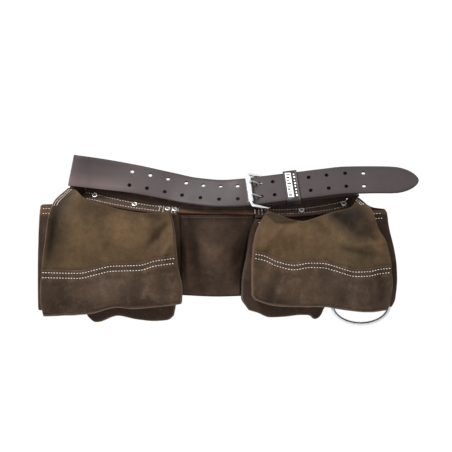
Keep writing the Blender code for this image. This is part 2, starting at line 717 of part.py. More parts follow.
def y_rear(side, x, z):
    """Front surface of the rear pocket's face."""
    s = SIDES[side]
    xo = edge_x(s["rear_outer"], z)
    xi = edge_x(s["rear_inner"], z)
    q = (x - xo) / (xi - xo)
    q = min(1.0, max(0.0, q))
    base = y_back(x, z)
    zl = band_low(x)[0]
    down = step((zl + 4.0 - z) / 60.0)
    out = 13.0 + 20.0 * down
    target = REAR_DEPTH - 5.0 * math.sin(math.pi * q) * down
    near = base - out
    return near * (1 - down) + target * down


def y_front(side, x, z):
    """Front surface of the front pocket's face."""
    s = SIDES[side]
    xo = edge_x(s["front_edge"], z)
    xi = edge_x(s["inner_edge"], z)
    q = min(1.0, max(0.0, (x - xo) / (xi - xo)))
    co, ci = s["corner_y"]
    top = curve(s["mouth"], x, 1)
    outer_pull = step(1.0 - q * 4.0)
    inner_pull = step(1.0 - (1.0 - q) * 5.5)
    down = step((top + 3.0 - z) / 62.0)
    low = step((z + 128.0) / 40.0)
    full = MOUTH_DEPTH + (FRONT_DEPTH - MOUTH_DEPTH) * down - 6.0 * math.sin(math.pi * q) * down + 5.0 * (1 - low)
    corner = co * outer_pull + ci * inner_pull
    pull = min(1.0, outer_pull + inner_pull) * (1 - down)
    if outer_pull + inner_pull > 1e-6:
        corner = corner / (outer_pull + inner_pull)
    return full * (1 - pull) + corner * pull


def face_grid(edge_a, edge_b, top, bottom, nx, nz, depth):
    """Grid between two side edges and a top and a bottom curve; depth gives y."""
    rows = []
    for i in range(nz + 1):
        t = i / nz
        row = []
        for j in range(nx + 1):
            q = j / nx
            xt = top[0][0] + (top[-1][0] - top[0][0]) * q
            xb = bottom[0][0] + (bottom[-1][0] - bottom[0][0]) * q
            zt = curve(top, xt, 1)
            zb = curve(bottom, xb, 1)
            z = zt + (zb - zt) * t
            za = top[0][1] + (bottom[0][1] - top[0][1]) * t
            zc = top[-1][1] + (bottom[-1][1] - top[-1][1]) * t
            xa = edge_x(edge_a, za)
            xc = edge_x(edge_b, zc)
            x = xa + (xc - xa) * q
            row.append(Vector((x, depth(x, z), z)))
        rows.append(row)
    return rows


def push_all(rows, amount):
    return [[Vector((0, amount, 0)) for p in row] for row in rows]


def rim_path(grid):
    """The two sides and the bottom of a face grid as one path."""
    n = len(grid)
    m = len(grid[0])
    out = [grid[i][0] for i in range(n)]
    out += [grid[n - 1][j] for j in range(1, m)]
    out += [grid[i][m - 1] for i in range(n - 2, -1, -1)]
    return out


def gusset(name, rim, back_y, start, wall, bulge, steps, look, skip=0, clear=0.0):
    """Wall strip behind a face's rim, back to the next sheet."""
    path = [Vector((p.x, p.y, p.z)) for p in rim]
    if skip:
        path = path[skip:len(path) - skip]
    n = len(path)
    cx = sum(p.x for p in path) / n
    cz = sum(p.z for p in path) / n
    inward = []
    for k in range(n):
        a = path[max(0, k - 1)]
        b = path[min(n - 1, k + 1)]
        d = Vector((b.x - a.x, 0, b.z - a.z)).normalized()
        v = Vector((-d.z, 0, d.x))
        if v.dot(Vector((cx - path[k].x, 0, cz + 20 - path[k].z))) < 0:
            v = -v
        inward.append(v)
    rows = []
    push = []
    for k in range(n):
        p = path[k] + inward[k] * (0.2 + clear)
        y0 = p.y + start
        y1 = back_y(p.x, p.z) - (3.6 if p.z > 20.0 else 2.2)
        if y1 < y0 + 3.0:
            y1 = y0 + 3.0
        row = []
        row_push = []
        for j in range(steps + 1):
            t = j / steps
            w = math.sin(math.pi * t)
            q = p - inward[k] * (bulge * w)
            row.append(Vector((q.x, y0 + (y1 - y0) * t, q.z)))
            row_push.append(inward[k] * wall)
        rows.append(row)
        push.append(row_push)
    return slab(name, rows, push, look)


def flap_front(x, z):
    """Front of the sleeve's flap near its lower edge, or far back below it."""
    zl, yl, lean = band_low(x)
    if z < zl - 3.0:
        return 50.0
    return yl - (SUEDE + 0.9) / math.cos(lean) + (z - zl) * math.tan(lean) - 0.8


def lap_rim(upper, lower):
    """Rim of the front face: down the upper sheet, then the lower one, and up again."""
    out = [row[0] for row in upper]
    out += [row[0] for row in lower if row[0].z < upper[-1][0].z - 4.0][:-1]
    out += list(lower[-1])
    out += [row[-1] for row in reversed(lower) if row[-1].z < upper[-1][-1].z - 4.0][1:]
    out += [row[-1] for row in reversed(upper)]
    return out


def rear_stop(x, z):
    return min(y_back(x, z), flap_front(x, z))


for side in ("left", "right"):
    s = SIDES[side]
    if side == "left":
        ea, eb, ra, rb = s["front_edge"], s["inner_edge"], s["rear_outer"], s["rear_inner"]
    else:
        ea, eb, ra, rb = s["inner_edge"], s["front_edge"], s["rear_inner"], s["rear_outer"]

    def front_y(x, z, side=side):
        return y_front(side, x, z)

    def rear_y(x, z, side=side):
        return y_rear(side, x, z)

    def front_stop(x, z, side=side):
        return min(y_rear(side, x, z), flap_front(x, z))

    seam = [(p[0], p[1] - 15.0) for p in s["seam"]]
    upper = face_grid(ea, eb, s["mouth"], seam, 10, 7, front_y)
    slab("front_pocket_upper_panel_" + side, upper, push_all(upper, SUEDE), OLIVE)

    def lap_y(x, z, side=side, s=s):
        d = curve(s["seam"], x, 1) - z
        w = 1.0 - step((d - 17.0) / 10.0)
        return y_front(side, x, z) - (SUEDE + 0.9) * w

    lower = face_grid(ea, eb, s["seam"], s["bottom"], 10, 6, lap_y)
    slab("front_pocket_lower_panel_" + side, lower, push_all(lower, SUEDE), BROWN)
    gusset("front_pocket_gusset_" + side, lap_rim(upper, lower), front_stop, SUEDE + 0.6, SUEDE, 3.0, 3, DARK)
    rear = face_grid(ra, rb, s["rear_mouth"], s["rear_bottom"], 12, 8, rear_y)
    slab("rear_pocket_face_" + side, rear, push_all(rear, SUEDE), BROWN)
    gusset("rear_pocket_gusset_" + side, rim_path(rear), rear_stop, SUEDE + 0.6, SUEDE, 3.0, 3, DARK)

# back panel in three sewn lengths that follow the bags and the middle
LAP = 2.5


def hang_line(x0, x1, count):
    """Top edge of a back panel, just behind the flap's lower edge."""
    return [(x0 + (x1 - x0) * k / count, band_low(x0 + (x1 - x0) * k / count)[0] + LAP) for k in range(count + 1)]


CEN_A = [(60.0, -59.8), (-94.0, -59.8)]
CEN_B = [(60.0, 60.5), (38.0, 60.0), (16.0, 52.5), (-24.0, 46.5), (-76.0, 38.6), (-95.0, 38.6)]
BACK = {
    "back_panel_left": {"cols": 26,
                        "a": [(58.0, -284.0), (40.0, -285.5), (0.0, -287.0), (-72.0, -288.0), (-112.0, -287.0)],
                        "b": [(50.0, -60.4), (-100.0, -60.4)],
                        "top": [(-284.0, 57.0), (-254.0, 58.5), (-244.0, 72.0), (-237.0, 92.0), (-226.0, 96.0),
                                (-218.0, 88.0)] + hang_line(-206.0, -60.4, 9),
                        "bottom": [(-287.0, -112.0), (-213.0, -113.0), (-200.0, -126.0), (-160.0, -119.0),
                                   (-100.0, -126.0), (-78.0, -122.0), (-68.0, -104.0), (-60.4, -99.0)]},
    "back_panel_centre": {"a": CEN_A,
                          "b": CEN_B,
                          "top": hang_line(-59.8, 60.2, 6),
                          "bottom": [(-59.8, -90.5), (0.0, -93.0), (38.6, -92.0)]},
    "back_panel_right": {"a": [(z, x + 0.6) for z, x in CEN_B] + [(-113.0, 50.0)],
                         "b": [(50.0, 267.5), (42.0, 271.0), (29.0, 274.0), (0.0, 280.0), (-50.0, 289.0), (-93.0, 286.5),
                               (-108.0, 280.0)],
                         "top": hang_line(60.8, 202.0, 9) + [(210.0, 66.0), (218.0, 70.0), (227.0, 68.0), (236.0, 60.0),
                                                                  (250.0, 52.0), (267.5, 49.5)],
                         "bottom": [(50.0, -112.0), (85.0, -123.0), (132.0, -120.0), (160.0, -124.0),
                                    (175.0, -108.0), (230.0, -103.0), (280.0, -108.0)]},
}
made = {}
for name, o in BACK.items():
    grid = face_grid(o["a"], o["b"], o["top"], o["bottom"], o.get("cols", 12), 9, y_back)
    made[name] = slab(name, grid, push_all(grid, SUEDE), DARK)


def y_centre(x, z):
    xa = edge_x(CEN_A, z)
    xb = edge_x(CEN_B, z)
    q = min(1.0, max(0.0, (x - xa - 1.5) / (xb - xa - 3.0)))
    t = min(1.0, max(0.0, (40.0 - z) / 124.0))
    swell = math.sin(math.pi * q) ** 0.7
    deep = (9.0 + 14.0 * step(t * 2.2)) * (1.0 - step((t - 0.55) / 0.45))
    return y_back(x, z) - SUEDE - 1.9 - deep * swell


CEN_MOUTH = 39.0
grid = face_grid([(z, x + 1.5) for z, x in CEN_A], [(z, x - 1.5) for z, x in CEN_B],
                 [(-58.3, CEN_MOUTH), (0.0, CEN_MOUTH + 0.5), (58.0, CEN_MOUTH)],
                 [(-58.3, -87.5), (0.0, -89.8), (37.1, -89.0)], 10, 9, y_centre)
slab("centre_pocket_face", grid, push_all(grid, SUEDE), BROWN)

# ------------------------------------------------------------- hammer ring and its tab
RING_X = 236.0
RING_R = 3.2
BAR_Y = 6.2
BAR_Z = -82.0
RING_HALF = 46.5
LEG_Z = -108.0
LOW_Z = -138.3
pts = []
for k in range(4):
    w = math.radians(90 - 90 * k / 3)
    pts.append(Vector((RING_X + RING_HALF - 7 + 7 * math.cos(w), BAR_Y, BAR_Z - 7 + 7 * math.sin(w))))
for k in range(13):
    w = math.radians(180 * k / 12)
    pts.append(Vector((RING_X + RING_HALF * math.cos(w), BAR_Y, LEG_Z - (LEG_Z - LOW_Z) * math.sin(w))))
for k in range(4):
    w = math.radians(180 - 90 * k / 3)
    pts.append(Vector((RING_X - RING_HALF + 7 + 7 * math.cos(w), BAR_Y, BAR_Z - 7 + 7 * math.sin(w))))
hammer_ring = rod("hammer_ring", pts, RING_R, STEEL, 12, closed=True)

TAB_W = 52.0
tab_t = 1.8
tab_r = RING_R + 0.06 + tab_t / 2
line = [(1.5, -46.0), (1.5, -60.0)]
line += [(BAR_Y - tab_r * math.cos(math.radians(20)), BAR_Z + tab_r * math.sin(math.radians(20)))]
for k in range(1, 11):
    w = math.radians(160 + 22 * k)
    line.append((BAR_Y + tab_r * math.cos(w), BAR_Z + tab_r * math.sin(w)))
line += [(3.9, -62.0), (3.7, -46.0)]
rows = []
for k, (y, z) in enumerate(line):
    a = line[max(0, k - 1)]
    b = line[min(len(line) - 1, k + 1)]
    d = Vector((0, b[0] - a[0], b[1] - a[1])).normalized()
    nrm = Vector((0, -d.z, d.y)) * (tab_t / 2)
    c = Vector((RING_X, y, z))
    h = Vector((TAB_W / 2, 0, 0))
    rows.append([c - h - nrm, c + h - nrm, c + h + nrm, c - h + nrm])
ring_tab = sweep("ring_tab", rows, LEATHER)
tab_cuts = []
back_cuts = []
for k, dx in enumerate((-15.0, 15.0)):
    c = Vector((RING_X + dx, 0, -53.0))
    lathe("tab_rivet_%d" % (k + 1), c, Vector((0, 1, 0)), Vector((1, 0, 0)),
          [(-SUEDE - GAP - 0.9, 0.0), (-SUEDE - GAP - 0.9, 3.8), (-SUEDE - GAP, 4.0), (-SUEDE - GAP, 1.5),
           (5.2, 1.5), (5.2, 4.4), (6.3, 3.6), (6.0, 0.0)], STEEL, 10)
    tab_cuts.append(punch(c, Vector((0, 1, 0)), 1.75, 12.0, 10))
    back_cuts.append(punch(c, Vector((0, 1, 0)), 1.75, 12.0, 10))
cut(ring_tab, tab_cuts)
cut(made["back_panel_right"], back_cuts)


# ------------------------------------------------------------- turning points of the moving pieces
def pivot(obj, point, parent=None):
    """Move an object's own zero to a point on its axis and hang it on its parent."""
    spot = Vector((point.x * MM, point.y * MM, (point.z + RISE) * MM))
    for v in obj.data.vertices:
        v.co -= spot
    if parent is None:
        obj.location = spot
    else:
        obj.parent = parent
        obj.location = spot - parent.location
    bpy.context.view_layer.update()


pivot(buckle_frame, HEEL)
pivot(buckle_roller, ROLL, buckle_frame)
for label, side in (("prong_upper", 1), ("prong_lower", -1)):
    pivot(bpy.data.objects[label], HEEL + BU * (side * ROW_SPACING / 2), buckle_frame)
pivot(keeper_loop, kf[0])
keeper_label.parent = keeper_loop
keeper_label.matrix_parent_inverse = keeper_loop.matrix_world.inverted()
pivot(hammer_ring, Vector((RING_X, BAR_Y, BAR_Z)))
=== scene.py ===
"""Looks of the suede tool apron: fine leather, suede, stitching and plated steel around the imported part.

Frame: X to the right seen from the front, Z up, the pockets face -Y, the back lies on y = 0.
Shapes are worked in the same drawing millimetres as the part and scaled to metres at the end.
"""
import bpy
import bmesh
import json
import math
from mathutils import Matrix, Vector, noise

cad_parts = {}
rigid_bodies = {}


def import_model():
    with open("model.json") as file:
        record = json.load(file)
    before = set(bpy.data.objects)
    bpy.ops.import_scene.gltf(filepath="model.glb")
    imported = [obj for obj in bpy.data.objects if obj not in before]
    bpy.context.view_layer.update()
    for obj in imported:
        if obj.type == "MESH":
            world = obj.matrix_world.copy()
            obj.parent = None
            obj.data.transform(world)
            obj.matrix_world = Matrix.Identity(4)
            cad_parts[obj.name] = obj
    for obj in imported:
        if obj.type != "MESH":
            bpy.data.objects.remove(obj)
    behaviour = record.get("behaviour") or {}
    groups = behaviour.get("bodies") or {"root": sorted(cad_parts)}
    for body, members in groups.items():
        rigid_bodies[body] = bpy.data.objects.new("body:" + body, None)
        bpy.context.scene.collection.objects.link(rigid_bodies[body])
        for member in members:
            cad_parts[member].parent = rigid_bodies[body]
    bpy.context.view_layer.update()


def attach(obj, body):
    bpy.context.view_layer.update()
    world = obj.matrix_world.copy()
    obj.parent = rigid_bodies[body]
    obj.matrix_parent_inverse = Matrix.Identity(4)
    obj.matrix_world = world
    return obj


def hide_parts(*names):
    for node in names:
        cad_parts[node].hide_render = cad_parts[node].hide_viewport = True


for old in list(bpy.data.objects):
    bpy.data.objects.remove(old, do_unlink=True)

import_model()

MM = 0.001
RISE = 50.0

# driving sizes of the belt
BELT_W = 50.8
BELT_T = 3.6
SUEDE = 2.0
HOLE_D = 6.0
HOLE_PITCH = 28.6
ROW_SPACING = 24.4
HOLE_COLUMNS = 14

# driving sizes of the buckle
WIRE_R = 2.5
ROLLER_R = 4.6
FRAME_IN = 53.0
PRONG_R = 1.6

# belt front run: x, centre height, lean of the top edge away from the viewer, depth
FRONT = [(-224.0, 110.5, 1.0, -40.0), (-190.0, 106.0, 9.0, -41.0), (-136.0, 98.0, 22.0, -42.0),
         (-77.0, 86.2, 28.0, -44.0), (-36.0, 78.2, 32.0, -50.0), (9.0, 74.4, 32.0, -57.0),
         (44.0, 75.99, 29.5, -60.0), (50.0, 76.725, 29.5, -60.0), (80.0, 80.4, 29.5, -60.0),
         (133.0, 86.89, 29.5, -60.0), (170.0, 91.43, 29.5, -60.0), (178.0, 92.41, 29.5, -60.0),
         (205.0, 95.2, 30.0, -60.0), (250.0, 96.0, 32.0, -62.0),
         (290.0, 95.4, 33.0, -64.0), (322.0, 94.6, 33.0, -66.0)]
# belt run inside the sleeve
REAR = [(-222.0, 110.0, 9.0, -16.0), (-195.0, 103.0, 20.0, -19.0), (-165.0, 92.5, 31.0, -22.0),
        (-136.0, 83.0, 40.0, -24.0), (-86.0, 72.5, 48.0, -25.0), (8.0, 66.0, 51.0, -25.0),
        (96.0, 66.8, 50.0, -25.0), (134.0, 70.5, 46.0, -25.0), (171.0, 78.0, 40.0, -26.0),
        (205.0, 88.0, 33.0, -27.0), (216.0, 91.0, 31.0, -28.0)]
BAND_L = (-206.0, -60.4)
BAND_C = (-59.8, 60.2)
BAND_R = (60.8, 202.0)
FLAP_SIDE = 19.0
TIP_X = 320.3
TIP_ZONE = 43.0
BEND_X = -220.5
FLAP_MID = 12.0

BUCKLE_X = 52.0
HEEL_S = 28.5
HEEL_N = -10.8
FOLD_BACK = 21.0
FOLD_CLOSE = 10.0
FOLD_RIVET = 15.5

KEEPER_X = 119.0
KEEPER_W = 22.0
KEEPER_WALL = 2.2
KEEPER_PLAY = 1.0


# clearances: belt in its sleeve, between a flap's layers, round the heel bar, behind the flap
RIVET_ROOM = 0.9
FLAP_GAP = 0.15
HEEL_GAP = 0.55
HANG_GAP = 1.4
CLEAR_U = BELT_W / 2 + 0.7
CLEAR_N = BELT_T / 2 + RIVET_ROOM


# ------------------------------------------------------------- shapes in drawing millimetres
def clamp(v, lo=0.0, hi=1.0):
    return min(hi, max(lo, v))


def step(t):
    """Smooth rise from zero to one."""
    t = clamp(t)
    return t * t * (3 - 2 * t)


def hermite(t):
    """Weights of start, start slope, end and end slope of a cubic piece."""
    return 2 * t ** 3 - 3 * t ** 2 + 1, t ** 3 - 2 * t ** 2 + t, -2 * t ** 3 + 3 * t ** 2, t ** 3 - t ** 2


def curve(rows, x, col):
    """Smooth value of one column of a station table at x."""
    if x <= rows[0][0]:
        a, b = rows[0], rows[1]
        return a[col] + (x - a[0]) * (b[col] - a[col]) / (b[0] - a[0])
    if x >= rows[-1][0]:
        a, b = rows[-2], rows[-1]
        return b[col] + (x - b[0]) * (b[col] - a[col]) / (b[0] - a[0])
    k = 0
    while rows[k + 1][0] < x:
        k += 1
    a, b = rows[k], rows[k + 1]
    h = b[0] - a[0]
    d = (b[col] - a[col]) / h
    dl = (a[col] - rows[k - 1][col]) / (a[0] - rows[k - 1][0]) if k > 0 else d
    dr = (rows[k + 2][col] - b[col]) / (rows[k + 2][0] - b[0]) if k + 2 < len(rows) else d
    m0 = 0.0 if dl * d <= 0 else 2 * dl * d / (dl + d)
    m1 = 0.0 if dr * d <= 0 else 2 * dr * d / (dr + d)
    h00, h10, h01, h11 = hermite((x - a[0]) / h)
    return h00 * a[col] + h10 * h * m0 + h01 * b[col] + h11 * h * m1


def square(v, axis):
    """Unit vector of v's part at right angles to a unit axis."""
    return (v - axis * v.dot(axis)).normalized()


def line_frame(table, x):
    """Centre, direction, width and outward vectors of a belt run at x."""
    p, q, r = (Vector((s, curve(table, s, 3), curve(table, s, 1))) for s in (x, x + 1.0, x - 1.0))
    t = (q - r).normalized()
    lean = math.radians(curve(table, x, 2))
    up = square(Vector((0, 0, 1)), t)
    back = square(Vector((0, 1, 0)), t)
    u = (up * math.cos(lean) + back * math.sin(lean)).normalized()
    n = u.cross(t).normalized()
    return p, t, u, (-n if n.y > 0 else n)


def at(place, s, u, n):
    """A point given in a frame's own directions."""
    p, ft, fu, fn = place
    return p + ft * s + fu * u + fn * n


def turn(f0, f1, steps, reach):
    """Frames of a smooth bend from the end of one run to the start of the next."""
    out = []
    (p0, dir0), (p1, dir1) = f0[:2], f1[:2]
    for k in range(1, steps):
        t = k / steps
        h00, h10, h01, h11 = hermite(t)
        pos = p0 * h00 + dir0 * (reach * h10) + p1 * h01 + dir1 * (reach * h11)
        tan = (p0 * (6 * t * t - 6 * t) + dir0 * (reach * (3 * t * t - 4 * t + 1))
               + p1 * (6 * t - 6 * t * t) + dir1 * (reach * (3 * t * t - 2 * t))).normalized()
        out.append((pos, tan, square(f0[2].lerp(f1[2], step(t)), tan)))
    return out


def spread(a, b, pitch):
    """Even stations from a to b, about pitch apart."""
    count = max(2, int(abs(b - a) / pitch + 0.5))
    return [a + (b - a) * k / count for k in range(count + 1)]


BUCKLE = line_frame(FRONT, BUCKLE_X)
BT, BU, BN = BUCKLE[1:]
FOLD_R = WIRE_R + HEEL_GAP + BELT_T / 2
HEEL = at(BUCKLE, HEEL_S, 0, HEEL_N)
UNDER_N = -(HEEL_N + FOLD_R)


def band_low(x):
    """Height, depth and lean of the sleeve flap's lower edge."""
    x = clamp(x, -210.0, 206.0)
    flap = FLAP_MID + (FLAP_SIDE - FLAP_MID) * step((abs(x) - 52.0) / 16.0)
    p = at(line_frame(REAR, x), 0, -CLEAR_U - flap, 0)
    return p.z, p.y, math.radians(curve(REAR, x, 2))


def y_back(x, z):
    """Front surface of the back panel."""
    zl, yl, lean = band_low(x)
    hang = yl + (SUEDE + FLAP_GAP + RIVET_ROOM) / math.cos(lean) + HANG_GAP
    if z >= zl:
        return hang + (z - zl) * math.tan(lean)
    w = step((zl - z) / 58.0)
    return hang * (1 - w) + (-SUEDE) * w


# outlines of each bag's sheets: edges as (z, x), the others as (x, z)
SIDES = {
    "left": {
        "front_edge": [(84.0, -238.5), (58.0, -259.5), (0.0, -268.0), (-50.0, -274.5), (-94.0, -276.0),
                       (-118.0, -272.0)],
        "inner_edge": [(46.0, -77.0), (20.0, -69.5), (-8.0, -67.0), (-40.0, -64.0), (-80.0, -57.0),
                       (-99.0, -58.0)],
        "mouth": [(-238.5, 83.0), (-226.0, 80.0), (-205.0, 65.0), (-181.0, 56.5), (-148.0, 47.5),
                  (-109.0, 42.5), (-90.0, 42.5), (-77.0, 46.0)],
        "bottom": [(-272.0, -118.0), (-204.0, -114.5), (-156.0, -104.0), (-133.0, -106.0), (-84.0, -102.0),
                   (-58.0, -99.0)],
        "seam": [(-275.0, -45.5), (-215.0, -46.5), (-191.0, -41.5), (-164.0, -35.5), (-120.0, -34.0),
                 (-97.0, -27.5), (-64.0, -23.0)],
        "rear_outer": [(57.0, -282.5), (40.0, -284.0), (0.0, -285.5), (-72.0, -286.5), (-113.0, -285.5)],
        "rear_inner": [(38.0, -72.0), (0.0, -70.0), (-60.0, -66.0), (-110.0, -70.0), (-122.0, -72.0)],
        "rear_mouth": [(-282.5, 55.5), (-246.0, 54.5), (-215.0, 49.0), (-150.0, 38.0), (-72.0, 33.0)],
        "rear_bottom": [(-286.0, -111.0), (-213.0, -112.5), (-205.0, -123.0), (-195.0, -130.0),
                        (-160.0, -120.0),
                        (-124.0, -126.5), (-100.0, -128.5), (-80.0, -127.0), (-72.0, -121.0)],
        "corner_y": (-31.0, -71.0),
    },
    "right": {
        "front_edge": [(67.0, 222.5), (60.0, 231.0), (47.0, 242.5), (18.0, 252.5), (-4.0, 265.0),
                       (-41.0, 272.5),
                       (-73.0, 274.5), (-95.0, 271.5), (-108.0, 268.0)],
        "inner_edge": [(45.0, 80.5), (9.0, 63.0), (-21.0, 58.5), (-45.0, 57.5), (-84.0, 57.0), (-94.0, 62.0)],
        "mouth": [(80.0, 46.0), (97.0, 40.0), (116.0, 32.5), (134.0, 30.0), (146.0, 32.5), (165.0, 39.0),
                  (182.0, 44.5),
                  (210.0, 52.0), (222.5, 66.0)],
        "bottom": [(60.0, -91.5), (74.0, -97.0), (93.0, -101.5), (129.0, -103.0), (168.0, -103.0),
                   (192.0, -106.5), (237.0, -111.5), (268.0, -108.5)],
        "seam": [(57.0, -16.0), (74.0, -19.5), (93.0, -28.0), (121.0, -34.0), (146.0, -30.5), (165.0, -31.0),
                 (182.0, -35.0), (201.0, -41.0), (215.0, -44.5), (237.0, -44.0), (254.0, -40.5),
                 (273.0, -38.5)],
        "rear_outer": [(49.0, 266.0), (42.0, 269.5), (29.0, 272.5), (-32.0, 286.0), (-61.0, 288.0),
                       (-93.0, 285.0),
                       (-110.0, 278.0)],
        "rear_inner": [(38.0, 64.0), (16.0, 56.0), (-24.0, 50.0), (-76.0, 42.0), (-92.0, 42.0),
                       (-112.0, 53.0)],
        "rear_mouth": [(64.0, 33.0), (134.0, 27.0), (200.0, 36.0), (244.0, 46.5), (266.0, 48.0)],
        "rear_bottom": [(52.0, -111.0), (65.0, -115.0), (85.0, -122.5), (109.0, -121.0), (132.0, -118.5),
                        (148.0, -119.0), (156.0, -125.0), (163.0, -121.0), (171.0, -106.0), (200.0, -100.0),
                        (250.0, -101.0), (278.0, -106.0)],
        "corner_y": (-62.0, -71.0),
    },
}
FRONT_DEPTH = -94.0
MOUTH_DEPTH = -87.0
REAR_DEPTH = -50.0


def edge_x(table, z):
    """x of an edge given as (z, x) from top to bottom."""
    return curve(sorted(table), z, 1)


def across(table_a, table_b, x, z):
    """Share of the way from one edge to the other."""
    xa = edge_x(table_a, z)
    return (x - xa) / (edge_x(table_b, z) - xa)


def y_rear(side, x, z):
    """Front surface of the rear pocket's face."""
    s = SIDES[side]
    q = clamp(across(s["rear_outer"], s["rear_inner"], x, z))
    down = step((band_low(x)[0] + 4.0 - z) / 60.0)
    near = y_back(x, z) - (13.0 + 20.0 * down)
    return near * (1 - down) + (REAR_DEPTH - 5.0 * math.sin(math.pi * q) * down) * down


def y_front(side, x, z):
    """Front surface of the front pocket's face."""
    s = SIDES[side]
    q = clamp(across(s["front_edge"], s["inner_edge"], x, z))
    outer_pull = step(1.0 - q * 4.0)
    inner_pull = step(1.0 - (1.0 - q) * 5.5)
    down = step((curve(s["mouth"], x, 1) + 3.0 - z) / 62.0)
    low = step((z + 128.0) / 40.0)
    full = (MOUTH_DEPTH + (FRONT_DEPTH - MOUTH_DEPTH) * down - 6.0 * math.sin(math.pi * q) * down
            + 5.0 * (1 - low))
    corner = s["corner_y"][0] * outer_pull + s["corner_y"][1] * inner_pull
    pull = min(1.0, outer_pull + inner_pull) * (1 - down)
    if outer_pull + inner_pull > 1e-6:
        corner = corner / (outer_pull + inner_pull)
    return full * (1 - pull) + corner * pull


def face_grid(edge_a, edge_b, top, bottom, nx, nz, depth):
    """Grid between two side edges and a top and a bottom curve; depth gives y."""
    def between(a, b, w):
        return a + (b - a) * w

    rows = []
    for i in range(nz + 1):
        t = i / nz
        xa = edge_x(edge_a, between(top[0][1], bottom[0][1], t))
        xc = edge_x(edge_b, between(top[-1][1], bottom[-1][1], t))
        row = []
        for j in range(nx + 1):
            q = j / nx
            zt = curve(top, between(top[0][0], top[-1][0], q), 1)
            zb = curve(bottom, between(bottom[0][0], bottom[-1][0], q), 1)
            x, z = between(xa, xc, q), between(zt, zb, t)
            row.append(Vector((x, depth(x, z), z)))
        rows.append(row)
    return rows


# ------------------------------------------------------------- materials
def srgb(r, g, b):
    """Linear colour from eight-bit display values."""
    return tuple(((c / 255.0 + 0.055) / 1.055) ** 2.4 if c > 10 else c / 3294.6 for c in (r, g, b))


class Look:
    """A material in the making: noises in object space over one dye, or over a painted tint."""

    def __init__(self, name, rgb=None):
        self.mat = bpy.data.materials.new(name)
        self.mat.use_nodes = True
        self.tree = self.mat.node_tree
        self.coords = self.tree.nodes.new("ShaderNodeTexCoord").outputs["Object"]
        if rgb is None:
            tint = self.tree.nodes.new("ShaderNodeAttribute")
            tint.attribute_name = "tint"
            self.base = tint.outputs["Color"]
        else:
            self.base = self.tree.nodes.new("ShaderNodeRGB").outputs[0]
            self.base.default_value = (rgb[0], rgb[1], rgb[2], 1.0)

    def fill(self, node, sockets):
        """Fixed values and outputs to link, by input."""
        for key, value in sockets.items():
            if isinstance(value, bpy.types.NodeSocket):
                self.tree.links.new(value, node.inputs[key])
            else:
                node.inputs[key].default_value = value
        return node

    def add(self, kind, sockets, operation=None):
        node = self.tree.nodes.new("ShaderNode" + kind)
        if operation:
            node.operation = operation
        return self.fill(node, sockets)

    def noise(self, scale, detail, rough, stretch=None):
        """Noise; stretch squeezes it along the axes."""
        coords = self.coords
        if stretch is not None:
            coords = self.add("Mapping", {"Scale": stretch, "Vector": coords}).outputs["Vector"]
        return self.add("TexNoise", {"Scale": scale, "Detail": detail, "Roughness": rough,
                                     "Vector": coords}).outputs["Fac"]

    def remap(self, value, lo, hi, out_lo, out_hi):
        return self.add("MapRange", {"From Min": lo, "From Max": hi, "To Min": out_lo, "To Max": out_hi,
                                     "Value": value}).outputs["Result"]

    def cloud(self, scale, detail, rough, out_lo, out_hi, stretch=None, lo=0.3, hi=0.7):
        """Noise spread over a range of values."""
        return self.remap(self.noise(scale, detail, rough, stretch), lo, hi, out_lo, out_hi)

    def times(self, a, b):
        return self.add("Math", {0: a, 1: b}, "MULTIPLY").outputs["Value"]

    def toned(self, factor):
        """The base colour made lighter or darker."""
        return self.add("VectorMath", {0: self.base, "Scale": factor}, "SCALE").outputs["Vector"]

    def toward(self, colour, rgb, factor):
        """Mix towards a fixed colour by a linked factor."""
        node = self.tree.nodes.new("ShaderNodeMix")
        node.data_type = "RGBA"
        return self.fill(node, {"Factor": factor, "A": colour, "B": (rgb[0], rgb[1], rgb[2],
                                                                     1.0)}).outputs["Result"]

    def bump(self, height, strength, distance, before=None):
        sockets = {"Strength": strength, "Distance": distance, "Height": height}
        if before is not None:
            sockets["Normal"] = before
        return self.add("Bump", sockets).outputs["Normal"]

    def done(self, colour, sockets):
        self.fill(self.tree.nodes["Principled BSDF"], {"Base Color": colour, **sockets})
        return self.mat


def suede(name, pale, pale_amount):
    """Napped split leather: cloudy dye, brushed nap, pale rubbed places, all over a painted tint, which on
    the bags and the middle pocket also holds painted light and shade.
    """
    k = Look(name)
    tone = k.times(k.cloud(26.0, 4.0, 0.55, 0.84, 1.17), k.cloud(95.0, 5.0, 0.62, 0.84, 1.16))
    tone = k.times(tone, k.cloud(420.0, 4.0, 0.7, 0.84, 1.16, (1.0, 1.0, 0.45), 0.28, 0.72))
    rub = k.cloud(48.0, 7.0, 0.74, 0.0, pale_amount, (1.0, 1.0, 0.8), 0.50, 0.76)
    coarse = k.bump(k.noise(170.0, 5.0, 0.65), 0.5, 0.0012)
    return k.done(k.toward(k.toned(tone), pale, rub), {
        "Roughness": k.cloud(140.0, 3.0, 0.6, 0.84, 0.98), "Specular IOR Level": 0.10, "Sheen Weight": 0.10,
        "Sheen Roughness": 0.55, "Sheen Tint": (0.62, 0.48, 0.36, 1.0),
        "Normal": k.bump(k.noise(900.0, 3.0, 0.75), 0.35, 0.0005, coarse)})


